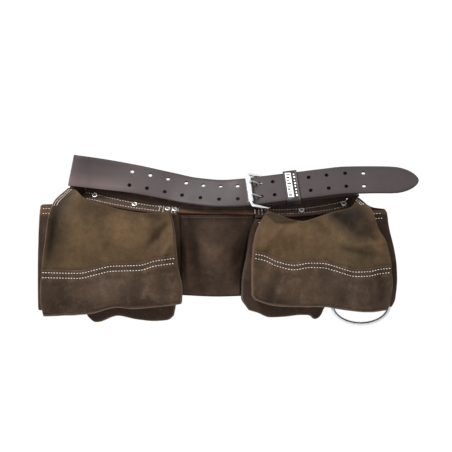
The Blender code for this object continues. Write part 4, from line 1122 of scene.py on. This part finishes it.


# ------------------------------------------------------------- bags
# overall depth of the bags' dye, the colours of their worn places, and the dark colours of the painted shade
# in their hollows and at their edges
BAG_TONE = 0.36
OLIVE = srgb(112, 90, 64)
OLIVE_DARK = srgb(46, 35, 26)
BROWN = srgb(92, 72, 56)
DEEP = srgb(50, 38, 30)
GREY = srgb(50, 45, 42)
WARM = srgb(122, 94, 66)
RED = srgb(112, 80, 58)
DUSK = srgb(40, 31, 25)
# Spots as in spots(): the dark ones (OLIVE_DARK, DEEP, GREY, DUSK and the dark browns) are painted shade in
# fold hollows, along edges that turn away and under the belt; the WARM and pale spots on the bulges are the
# suede's own patches and painted highlight both; the RED ones are the suede's own colour.
TINTS = {
    "upper_left": (OLIVE, [(-256, 30, 24, 70, OLIVE_DARK, 0.95), (-246, 72, 20, 20, OLIVE_DARK, 0.9),
                           (-170, 52, 60, 9, srgb(78, 62, 46), 0.8), (-150, 10, 45, 30, WARM, 0.55),
                           (-98, 12, 10, 24, OLIVE_DARK, 0.5), (-205, -14, 40, 20, WARM, 0.35),
                           (-78, 20, 9, 34, WARM, 0.5), (-195, 25, 22, 20, srgb(88, 70, 50), 0.6),
                           (-120, -22, 40, 10, WARM, 0.35)]),
    "lower_left": (BROWN, [(-262, -90, 26, 30, OLIVE_DARK, 0.6), (-170, -70, 50, 30, srgb(104, 86, 74), 0.6),
                           (-95, -60, 26, 34, srgb(84, 66, 54), 0.4), (-220, -100, 40, 12, DEEP, 0.55),
                           (-110, -98, 34, 10, DEEP, 0.45)]),
    "upper_right": (OLIVE, [(205, 40, 30, 26, GREY, 0.95), (234, 18, 18, 26, DUSK, 0.75),
                            (175, 2, 30, 24, WARM, 0.45), (98, -2, 34, 20, RED, 0.7),
                            (196, -8, 24, 22, srgb(120, 102, 78), 0.5), (236, -26, 26, 12, DUSK, 0.5),
                            (262, 0, 12, 40, RED, 0.6), (150, 24, 26, 10, OLIVE, 0.4),
                            (250, 44, 12, 16, RED, 0.5), (226, 36, 12, 12, DUSK, 0.6)]),
    "lower_right": (BROWN, [(70, -84, 14, 26, DEEP, 0.6), (120, -60, 40, 22, srgb(96, 76, 62), 0.5),
                            (200, -66, 34, 20, srgb(100, 84, 74), 0.5),
                            (240, -92, 30, 16, srgb(64, 54, 48), 0.6),
                            (170, -98, 60, 8, srgb(108, 92, 80), 0.35), (258, -70, 14, 30, DEEP, 0.5),
                            (90, -96, 30, 10, DEEP, 0.6)]),
}

# folds of each bag front: x0, z0, x1, z1, half width, height towards the viewer
FOLDS = {
    "left": [(-70, 34, -104, -8, 6, -3.6), (-62, 12, -84, -24, 5, 2.8), (-240, 44, -186, 4, 26, 3.6),
             (-118, 36, -96, 10, 5, 1.8), (-140, 44, -90, 32, 5, -1.6), (-196, 40, -120, 30, 6, -1.2),
             (-250, 44, -264, -30, 8, -3.4), (-150, 34, -132, -14, 16, 2.2), (-178, 30, -166, -24, 10, -1.8),
             (-236, -62, -228, -108, 12, -1.8), (-190, -64, -180, -104, 16, 2.0),
             (-120, -62, -126, -100, 12, -1.6),
             (-96, -44, -92, -92, 10, 1.8), (-70, 30, -66, 0, 5, -2.2)],
    "right": [(186, 40, 226, 8, 7, -4.5), (164, 34, 206, -6, 8, 3.4), (208, 46, 240, 8, 6, 2.6),
              (226, 30, 252, -2, 5, -2.6), (234, 0, 262, -22, 5, 2.8), (196, -12, 244, -24, 5, -2.6),
              (222, -8, 264, -4, 4, 1.8), (150, 34, 176, 10, 5, -1.6), (104, 24, 76, -8, 6, 1.8),
              (110, 18, 152, 4, 14, 3.0), (76, 20, 70, -12, 9, 2.4), (120, -6, 96, -26, 10, -1.8),
              (82, -44, 70, -92, 8, 3.0), (96, -60, 84, -98, 7, -2.6), (150, -50, 156, -94, 14, 1.8),
              (208, -54, 200, -100, 9, -2.4), (226, -54, 236, -102, 10, 2.2), (258, -50, 262, -92, 7, -2.2)],
}


def fold_height(side, x, z):
    h = 1.35 * folded(FOLDS[side], x, z)
    h += 1.8 * rough_ground(x, 0, z, 46.0, 1.0 if side == "left" else 5.0)
    return h + (0.7 * rough_ground(x, 0, z, 19.0, 2.0) + 0.22 * rough_ground(x, 0, z, 7.0, 7.0))


TURN_X = [(66.0, 46.0), (76.0, 40.5), (97.0, 25.5), (112.0, 27.5), (128.0, 31.0), (140.0, 34.0)]


def turned_flap(x, z):
    """How far inside the folded-over corner of the right bag's mouth a point is."""
    if not 66.0 < x < 140.0:
        return 0.0
    return step((z - curve(TURN_X, x, 1)) / 2.2)


ROWS = {"left": (5.0, 12.8), "right": (5.0, 11.8)}
OUTWARD = {"left": -1, "right": 1}
SEAM_LAP = 15.0
HEM_Z = 38.0


def pucker(side, x, z):
    """Pull of the stitch rows."""
    top = curve(SIDES[side]["seam"], x, 1)
    return sum(math.exp(-((z - (top - drop)) / 1.5) ** 2) for drop in ROWS[side])


def free(side, x, z):
    """One inside a bag's front and zero on its sewn side edges."""
    q = across(SIDES[side]["front_edge"], SIDES[side]["inner_edge"], x, z)
    return step(q / 0.06) * step((1 - q) / 0.06)


def lapped(side, x, z):
    """Front surface where the lower panel lies over the upper one and then joins its plane."""
    d = curve(SIDES[side]["seam"], x, 1) - z
    return y_front(side, x, z) - (SUEDE + 0.5) * (1.0 - step((d - 17.0) / 10.0))


def edges(side, outer, inner):
    """A bag's two edge tables from left to right."""
    pair = SIDES[side][outer], SIDES[side][inner]
    return pair if side == "left" else pair[::-1]


def bag_front(side):
    """Both panels of a bag's front and their stitching."""
    s = SIDES[side]
    ea, eb = edges(side, "front_edge", "inner_edge")

    def upper_y(x, z):
        y = y_front(side, x, z) - fold_height(side, x, z) * free(side, x, z)
        if side == "right":
            y -= 3.6 * turned_flap(x, z)
        return y + 0.3 * pucker(side, x, z)

    def lower_y(x, z):
        low = step((z - (curve(s["bottom"], x, 1) + 1.0)) / 10.0)
        y = lapped(side, x, z) - fold_height(side, x, z) * free(side, x, z) * low
        return y + 0.45 * pucker(side, x, z) + 3.0 * (1.0 - low)

    def folded_tint(part, p):
        base, places = TINTS[part + side]
        # painted light and shade by the fold height: ridges lighter, hollows darker
        shade = 1.0 + 0.062 * fold_height(side, p.x, p.z) * free(side, p.x, p.z)
        return gain(spots(base, p.x, p.z, places), max(0.45, shade))

    def rim_gap(p):
        return min(abs(p.x - edge_x(s["front_edge"], p.z)), abs(p.x - edge_x(s["inner_edge"], p.z)))

    def upper_tint(p, face):
        c = folded_tint("upper_", p)
        # painted shade under the turned-over corner of the right bag's mouth
        if side == "right":
            c = mix3(c, srgb(66, 51, 38), 0.85 * turned_flap(p.x, p.z) * (1.0 if face == 0 else 0.0))
        c = glow(c, srgb(112, 88, 64), 0.25, curve(s["mouth"], p.x, 1) - p.z, 1.2)
        # the inner face is painted darker: painted shade inside the pocket
        if face == 1:
            c = gain(c, 0.7)
        if face == 2:
            c = mix3(c, srgb(96, 72, 54), 0.5)
        return gain(glow(c, srgb(126, 100, 76), 0.22, rim_gap(p), 1.2), BAG_TONE)

    def lower_tint(p, face):
        d = curve(s["seam"], p.x, 1) - p.z
        c = glow(folded_tint("lower_", p), srgb(100, 82, 70), 0.4, d, 1.5)
        c = glow(c, srgb(76, 62, 50), 0.5, d - 9.0, 3.0)
        c = glow(c, srgb(104, 84, 68), 0.2, p.z - curve(s["bottom"], p.x, 1), 1.6)
        c = glow(c, srgb(118, 98, 82), 0.22, rim_gap(p), 1.2)
        # the inner face is painted darker: painted shade inside the pocket
        return gain(gain(c, 0.7) if face == 1 else c, BAG_TONE * 1.12)

    upper = face_grid(ea, eb, s["mouth"], [(x, z - SEAM_LAP) for x, z in s["seam"]], 96, 46, upper_y)
    leather("bag_front_upper_" + side, upper, SUEDE, [M_SUEDE, M_SUEDE, M_RAW], upper_tint,
            ["front_pocket_upper_panel_" + side])
    lower = face_grid(ea, eb, s["seam"], s["bottom"], 96, 34, lower_y)
    leather("bag_front_lower_" + side, lower, SUEDE, [M_SCUFFED, M_SUEDE, M_RAW], lower_tint,
            ["front_pocket_lower_panel_" + side])
    threads = Seams()
    for drop in ROWS[side]:
        pts = []
        outs = []
        x0 = edge_x(ea, s["seam"][0][1] - drop) + 2.0
        x1 = edge_x(eb, s["seam"][-1][1] - drop) - 2.0
        for x in spread(x0, x1, 2.0):
            z = curve(s["seam"], x, 1) - drop
            dx = (lower_y(x + 1, z) - lower_y(x - 1, z)) / 2
            dz = (lower_y(x, z + 1) - lower_y(x, z - 1)) / 2
            outs.append(Vector((dx, -1, dz)).normalized())
            pts.append(Vector((x, lower_y(x, z) - 0.12, z)))
        threads.row(pts, outs)
    # two short rows down the outer hem by the mouth
    top_z = s["front_edge"][0][0]
    low_z = s["front_edge"][1][0]
    for inset in (2.2, 6.2):
        pts = []
        for k in range(19):
            z = top_z - 1.5 - (top_z - low_z + 2.0) * k / 18
            x = edge_x(s["front_edge"], z) - OUTWARD[side] * inset
            if z <= curve(s["mouth"], x, 1) - 1.0:
                pts.append(Vector((x, upper_y(x, z) - 0.15, z)))
        if len(pts) > 3:
            threads.row(pts, Vector((0, -1, 0)), 3.4, 0.5)
    threads.done("bag_stitching_" + side, "olive_suede")
    return upper, lower


def hem_tint(c, p):
    """Lighter hem at the rear pocket's mouth."""
    if p.z > 40.0 and abs(p.x) > 240.0:
        return mix3(c, srgb(104, 78, 60), 0.8 * step((p.z - HEM_Z) / 5.0))
    return c


def wall(name, path, back_y, base, node, flute):
    """Gusset strip behind a face's rim, back to the next sheet, with soft flutes."""
    n = len(path)
    cx = sum(p.x for p in path) / n
    cz = sum(p.z for p in path) / n
    grid = []
    push = []
    for k in range(n):
        d = path[min(n - 1, k + 2)] - path[max(0, k - 2)]
        d = Vector((d.x, 0, d.z)).normalized()
        inward = Vector((-d.z, 0, d.x))
        if inward.dot(Vector((cx - path[k].x, 0, cz + 20 - path[k].z))) < 0:
            inward = -inward
        p = path[k] + inward * 0.2
        y0 = p.y + SUEDE + FLAP_GAP
        y1 = max(y0 + 3.0, back_y(p.x, p.z) - (3.6 if p.z > 20.0 else 2.2))
        row = []
        for j in range(10):
            t = j / 9
            w = math.sin(math.pi * t)
            f = flute * w * (math.sin(3 * math.pi * t) * 0.6 + rough_ground(k * 1.0, t * 14.0, 0.0, 9.0, 3.0))
            q = p - inward * (3.0 * w + f)
            row.append(Vector((q.x, y0 + (y1 - y0) * t, q.z)))
        grid.append(row)
        push.append([inward * SUEDE] * 10)

    def tint(p, face):
        c = gain(base, 0.92 + 0.16 * rough_ground(p.x, p.y, p.z, 24.0, 6.0))
        # the inner face is painted darker: painted shade inside the pocket
        return gain(hem_tint(gain(c, 0.75) if face == 1 else c, p), LIFT)

    leather(name, grid, SUEDE, [M_SUEDE, M_SUEDE, M_RAW], tint, [node], push)


def flap_front(x, z):
    """Front of the sleeve's flap near its lower edge, or far back below it."""
    zl, yl, lean = band_low(x)
    if z < zl - 3.0:
        return 50.0
    return yl - (SUEDE + RIVET_ROOM) / math.cos(lean) + (z - zl) * math.tan(lean) - 0.8


def rear_stop(x, z):
    return min(y_back(x, z), flap_front(x, z))


def lap_rim(upper, lower):
    """Rim down one side, along the bottom and up the other, where the two panels lap."""
    out = [row[0] for row in upper]
    out += [row[0] for row in lower if row[0].z < upper[-1][0].z - 1.0][:-1]
    out += list(lower[-1])
    out += [row[-1] for row in reversed(lower) if row[-1].z < upper[-1][-1].z - 1.0][1:]
    out += [row[-1] for row in reversed(upper)]
    return out


def bag_rear(side, upper, lower):
    """The front bag's gusset, and the rear pocket with its gusset and hem."""
    s = SIDES[side]

    def front_stop(x, z):
        return min(y_rear(side, x, z), flap_front(x, z))

    def rear_fine(x, z):
        return y_rear(side, x, z) - 0.9 * rough_ground(x, 0, z, 30.0, 8.0) - 0.35 * rough_ground(x, 0, z,
                                                                                                 11.0, 9.0)

    def rear_tint(p, face):
        c = gain(srgb(66, 51, 41), 0.95 + 0.2 * rough_ground(p.x, 0, p.z, 30.0, 8.0))
        c = glow(c, srgb(84, 66, 52), 0.25, p.z - curve(s["rear_bottom"], p.x, 1), 1.6)
        return gain(hem_tint(c, p), LIFT * 0.74)

    smooth_up = [[Vector((p.x, y_front(side, p.x, p.z), p.z)) for p in row] for row in upper]
    smooth_low = [[Vector((p.x, lapped(side, p.x, p.z), p.z)) for p in row] for row in lower]
    wall("bag_side_front_" + side, lap_rim(smooth_up, smooth_low), front_stop, srgb(84, 66, 53),
         "front_pocket_gusset_" + side, 1.3)
    ra, rb = edges(side, "rear_outer", "rear_inner")
    rear = face_grid(ra, rb, s["rear_mouth"], s["rear_bottom"], 80, 56, rear_fine)
    leather("bag_rear_face_" + side, rear, SUEDE, [M_SUEDE, M_SUEDE, M_RAW], rear_tint,
            ["rear_pocket_face_" + side])
    n, m = len(rear), len(rear[0])
    wall("bag_side_rear_" + side, [rear[i][j] for i, j in rim_of(n, m)[:2 * n + m - 2]], rear_stop,
         srgb(58, 45, 36), "rear_pocket_gusset_" + side, 1.2)
    threads = Seams()
    sign = OUTWARD[side]
    for drop in (5.0, 13.0):
        pts = []
        for x in spread(s["rear_mouth"][0][0] + 2.5, s["rear_mouth"][-1][0] - 2.5, 2.5):
            z = curve(s["rear_mouth"], x, 1) - drop
            pts.append(Vector((x, rear_fine(x, z) - 0.2, z)))
        threads.row(pts, Vector((0, -1, 0)))
        # the hem carries on round the gusset
        z = s["rear_mouth"][0 if side == "left" else -1][1] - drop
        x = edge_x(s["rear_outer"], z)
        y0 = rear_fine(x, z) + SUEDE + 1.0
        y1 = rear_stop(x, z) - 3.0
        pts = [Vector((x + sign * (3.0 * math.sin(math.pi * k / 8) + 0.3), y0 + (y1 - y0) * (k / 8), z))
               for k in range(9)]
        threads.row(pts, Vector((sign, -0.3, 0)), 3.4, 0.4)
    threads.done("rear_hem_stitching_" + side, "brown_suede")


fronts = {side: bag_front(side) for side in SIDES}
for side in SIDES:
    bag_rear(side, *fronts[side])

# ------------------------------------------------------------- back panels and the middle pocket
# how far the back panels run up between the flap's layers
LAP = 2.5


def hang_line(x0, x1, count):
    return [(x0 + (x1 - x0) * k / count,
             band_low(x0 + (x1 - x0) * k / count)[0] + LAP) for k in range(count + 1)]


CEN_A = [(60.0, -59.8), (-94.0, -59.8)]
CEN_B = [(60.0, 60.5), (38.0, 60.0), (16.0, 52.5), (-24.0, 46.5), (-76.0, 38.6), (-95.0, 38.6)]
BACK = {
    "back_panel_left": {"a": [(58.0, -284.0), (40.0, -285.5), (0.0, -287.0), (-72.0, -288.0),
                              (-112.0, -287.0)],
                        "b": [(50.0, -60.4), (-100.0, -60.4)],
                        "top": [(-284.0, 57.0), (-254.0, 58.5), (-244.0, 72.0), (-237.0, 92.0),
                                (-226.0, 96.0),
                                (-218.0, 88.0)] + hang_line(-206.0, -60.4, 9),
                        "bottom": [(-287.0, -112.0), (-213.0, -113.0), (-200.0, -126.0), (-160.0, -119.0),
                                   (-100.0, -126.0), (-78.0, -122.0), (-68.0, -104.0), (-60.4, -99.0)]},
    "back_panel_centre": {"a": CEN_A,
                          "b": CEN_B,
                          "top": hang_line(-59.8, 60.2, 6),
                          "bottom": [(-59.8, -90.5), (0.0, -93.0), (38.6, -92.0)]},
    "back_panel_right": {"a": [(z, x + 0.6) for z, x in CEN_B] + [(-113.0, 50.0)],
                         "b": [(50.0, 267.5), (42.0, 271.0), (29.0, 274.0), (0.0, 280.0), (-50.0, 289.0),
                               (-93.0, 286.5),
                               (-108.0, 280.0)],
                         "top": hang_line(60.8, 202.0, 9) + [(210.0, 66.0), (218.0, 70.0), (227.0, 68.0),
                                                             (236.0, 60.0),
                                                                  (250.0, 52.0), (267.5, 49.5)],
                         "bottom": [(50.0, -112.0), (85.0, -123.0), (132.0, -120.0), (160.0, -124.0),
                                    (175.0, -108.0), (230.0, -103.0), (280.0, -108.0)]},
}
back_seams = Seams()


def back_fine(x, z):
    return y_back(x, z) + 0.35 * rough_ground(x, 0, z, 34.0, 11.0) + 0.12 * rough_ground(x, 0, z, 9.0, 12.0)


def back_tint(p, face):
    return gain(gain(srgb(70, 55, 44), 0.95 + 0.22 * rough_ground(p.x, 0, p.z, 40.0, 13.0)), LIFT)


for name, o in BACK.items():
    grid = face_grid(o["a"], o["b"], o["top"], o["bottom"], 72, 60, back_fine)
    leather("back_" + name[11:], grid, SUEDE, [M_SUEDE, M_SCUFFED, M_RAW], back_tint, [name])
    lines = []
    for edge, sign in (("a", 1), ("b", -1)):
        zs = [z for z, x in o[edge]]
        lines.append([(edge_x(o[edge], z) + sign * 4.0, z) for z in spread(max(zs) - 4.0, min(zs) + 4.0,
                                                                           3.0)])
    lines.append([(x, curve(o["bottom"], x, 1) + 4.5)
                  for x in spread(o["bottom"][0][0] + 6.0, o["bottom"][-1][0] - 6.0, 3.0)])
    for line in lines:
        back_seams.row([Vector((x, back_fine(x, z) + SUEDE + 0.12, z)) for x, z in line], Vector((0, 1, 0)))
back_seams.done("back_stitching", "dark_suede")


CEN_FOLDS = [(-54, 30, -14, -18, 8, 2.6), (-44, 34, -36, -30, 7, -2.2), (52, 28, 10, -14, 9, 2.8),
             (56, 8, 26, -40, 8, -2.6), (-10, 16, 2, -54, 11, 2.2), (24, -20, 20, -70, 8, 1.8),
             (-34, -30, -30, -76, 10, -1.8), (-56, 8, -48, -60, 5, 1.6)]


def centre_folds(x, z):
    h = 1.7 * folded(CEN_FOLDS, x, z) + 1.6 * rough_ground(x, 0, z, 30.0, 15.0)
    return h + 0.35 * rough_ground(x, 0, z, 11.0, 16.0)


def y_centre(x, z):
    xa = edge_x(CEN_A, z)
    xb = edge_x(CEN_B, z)
    q = clamp((x - xa - 1.5) / (xb - xa - 3.0))
    t = clamp((40.0 - z) / 124.0)
    deep = (9.0 + 14.0 * step(t * 2.2)) * (1.0 - step((t - 0.55) / 0.45))
    soft = step(q / 0.08) * step((1 - q) / 0.08) * step((z + 84.0) / 12.0)
    return y_back(x, z) - SUEDE - 1.9 - deep * math.sin(math.pi * q) ** 0.7 - centre_folds(x, z) * soft


# Spots of the middle pocket, as in spots(): the dark ones are painted shade in the hollows by its upper
# corners, along its right edge and low in the middle; the lighter ones are the suede's own patches.
CEN_TINTS = [(-40, 20, 16, 20, srgb(60, 47, 39), 0.6), (36, 22, 20, 14, DEEP, 0.55),
             (-14, -10, 22, 34, srgb(98, 78, 66), 0.5), (10, -62, 40, 16, srgb(66, 52, 43), 0.5),
             (-50, -40, 9, 50, srgb(104, 80, 64), 0.35), (44, -30, 10, 40, DEEP, 0.5)]


def centre_tint(p, face):
    c = spots(srgb(82, 65, 54), p.x, p.z, CEN_TINTS)
    # painted light and shade by the fold height: ridges lighter, hollows darker
    c = gain(c, max(0.5, 1.0 + 0.06 * centre_folds(p.x, p.z)))
    # painted shade under the sleeve flap, darkening the pocket's top
    c = mix3(c, DUSK, 0.7 * step((p.z - 24.0) / 14.0))
    c = glow(c, srgb(100, 78, 62), 0.2, p.z + 88.0, 1.6)
    # the inner face is painted darker: painted shade inside the pocket
    return gain(gain(c, 0.75) if face == 1 else c, LIFT * 0.72)


CEN_MOUTH = 39.0
grid = face_grid([(z, x + 1.5) for z, x in CEN_A], [(z, x - 1.5) for z, x in CEN_B],
                 [(-58.3, CEN_MOUTH), (0.0, CEN_MOUTH + 0.5), (58.0, CEN_MOUTH)],
                 [(-58.3, -87.5), (0.0, -89.8), (37.1, -89.0)], 64, 64, y_centre)
leather("middle_pocket", grid, SUEDE, [M_SUEDE, M_SUEDE, M_RAW], centre_tint,
        ["centre_pocket_face"])
mid_seams = Seams()
row_z = CEN_MOUTH - 2.6
pts = [Vector((x, y_centre(x, row_z) - 0.1, row_z)) for x in spread(-55.0, 54.0, 2.5)]
mid_seams.row(pts, Vector((0, -1, 0.2)), radius=0.34)
mid_seams.done("middle_stitching", "brown_suede", M_TAN_THREAD)

# ------------------------------------------------------------- hammer ring and its tab
RING_X = 236.0
RING_R = 3.2
RING_HALF = 46.5
RING_CORNER = 7
BAR_Y = 6.2
BAR_Z = -82.0
LEG_Z = -108.0
LOW_Z = -138.3


def ring_arc(x, z, rx, rz, a0, a1, count):
    """Part of an ellipse in the ring's plane."""
    turns = [math.radians(a0 + (a1 - a0) * k / count) for k in range(count + 1)]
    return [Vector((x + rx * math.cos(w), BAR_Y, z + rz * math.sin(w))) for w in turns]


r = RING_CORNER
pts = ring_arc(RING_X + RING_HALF - r, BAR_Z - r, r, r, 90, 0, 8)
pts += ring_arc(RING_X, LEG_Z, RING_HALF, LOW_Z - LEG_Z, 0, 180, 40)
pts += ring_arc(RING_X - RING_HALF + r, BAR_Z - r, r, r, 180, 90, 8)
skin("ring_wire", wire_rows(pts, RING_R, 26, True), [M_RING], ["hammer_ring"], "ring", True)

TAB_W = 52.0
TAB_T = 1.8
tab_r = RING_R + 0.06 + TAB_T / 2
line = [(1.5, -46.0), (1.5, -53.0), (1.5, -60.0),
        (BAR_Y - tab_r * math.cos(math.radians(20)), BAR_Z + tab_r * math.sin(math.radians(20)))]
for k in range(1, 31):
    w = math.radians(160 + 220.0 * k / 30)
    line.append((BAR_Y + tab_r * math.cos(w), BAR_Z + tab_r * math.sin(w)))
line += [(3.9, -62.0), (3.8, -54.0), (3.7, -46.0)]
h = Vector((TAB_W / 2, 0, 0))
e = Vector((0.5, 0, 0))
rows = []
for k, (y, z) in enumerate(line):
    a = line[max(0, k - 1)]
    b = line[min(len(line) - 1, k + 1)]
    d = Vector((0, b[0] - a[0], b[1] - a[1])).normalized()
    nrm = Vector((0, -d.z, d.y)) * (TAB_T / 2)
    c = Vector((RING_X, y, z))
    row = [c - h - nrm * 0.5, c - h + e - nrm]
    row += [c - h + e + (h - e) * (2 * j / 12) - nrm for j in range(1, 12)]
    row += [c + h - e - nrm, c + h - nrm * 0.5, c + h + nrm * 0.5, c + h - e + nrm]
    row += [c + h - e - (h - e) * (2 * j / 12) + nrm for j in range(1, 12)]
    row += [c - h + e + nrm, c - h + nrm * 0.5]
    rows.append(row)
skin("ring_strap", rows, [M_STRAP, M_EDGE], ["ring_tab"],
     tint=lambda p: gain(srgb(96, 84, 82), LIFT), pick=lambda j: 1 if j < 0 else 0)
tab_seams = Seams()
for x0 in (-22.5, 22.5):
    pts = [Vector((RING_X + x0, 4.85 - 0.1 * k / 12, -48.0 - 20.0 * k / 12)) for k in range(13)]
    tab_seams.row(pts, Vector((0, 1, 0)), 3.6, 0.8, 0.45)
tab_seams.done("ring_strap_stitching", "strap_leather")
for k, dx in enumerate((-15.0, 15.0)):
    turned("ring_stud_%d" % (k + 1), Vector((RING_X + dx, 0, -53.0)), Vector((0, 1, 0)), Vector((1, 0, 0)),
           [(-SUEDE - 1.2, 0.0), (-SUEDE - 1.2, 3.4), (-SUEDE - 0.8, 3.9), (-SUEDE - 0.3, 4.0),
            (-SUEDE - 0.3, 1.4),
            (5.2, 1.4), (5.2, 4.3), (5.6, 4.4), (6.0, 4.1), (6.3, 3.4), (6.2, 2.7), (5.9, 2.1), (5.6, 1.8),
            (5.5, 0.9), (5.7, 0.0)], [M_RIVET, M_HUB], "tab_rivet_%d" % (k + 1),
           pick=lambda i: 1 if i >= 11 else 0)

# ------------------------------------------------------------- floor, light and camera
FLOOR_HALF = 30
FLOOR_Z = -1.1
floor_mesh = bpy.data.meshes.new("floor")
floor_mesh.from_pydata([(x * FLOOR_HALF, y * FLOOR_HALF, FLOOR_Z) for x,
                        y in ((-1, -1), (1, -1), (1, 1), (-1, 1))],
                       [], [(0, 1, 2, 3)])
pale = Look("pale_floor", (0.99, 0.99, 0.99))
floor_mesh.materials.append(pale.done(pale.base, {"Roughness": 0.9, "Specular IOR Level": 0.0}))
placed("floor", floor_mesh)

world = bpy.data.worlds.new("studio")
bpy.context.scene.world = world
world.use_nodes = True
sky = world.node_tree.nodes["Background"]
sky.inputs["Color"].default_value = (1.0, 1.0, 1.0, 1.0)
sky.inputs["Strength"].default_value = 1.02
bpy.context.scene.view_settings.view_transform = "Standard"

KEY_AT = Vector((-1.3, -1.2, 2.2))
KEY_AIM = Vector((0.0, -0.05, 0.05))
key = bpy.data.lights.new("key", "AREA")
key.shape = "SQUARE"
key.size = 0.9
key.energy = 100.0
lamp = placed("key", key)
lamp.location = KEY_AT
lamp.rotation_euler = (KEY_AIM - KEY_AT).to_track_quat("-Z", "Y").to_euler()

cam_data = bpy.data.cameras.new("camera")
cam_data.sensor_width = 36.0
cam_data.lens = 99.56
cam = placed("camera", cam_data)
cam.location = (0.0144, -2.05, 0.0724)
cam.rotation_euler = (math.radians(90), 0, 0)
bpy.context.scene.camera = cam
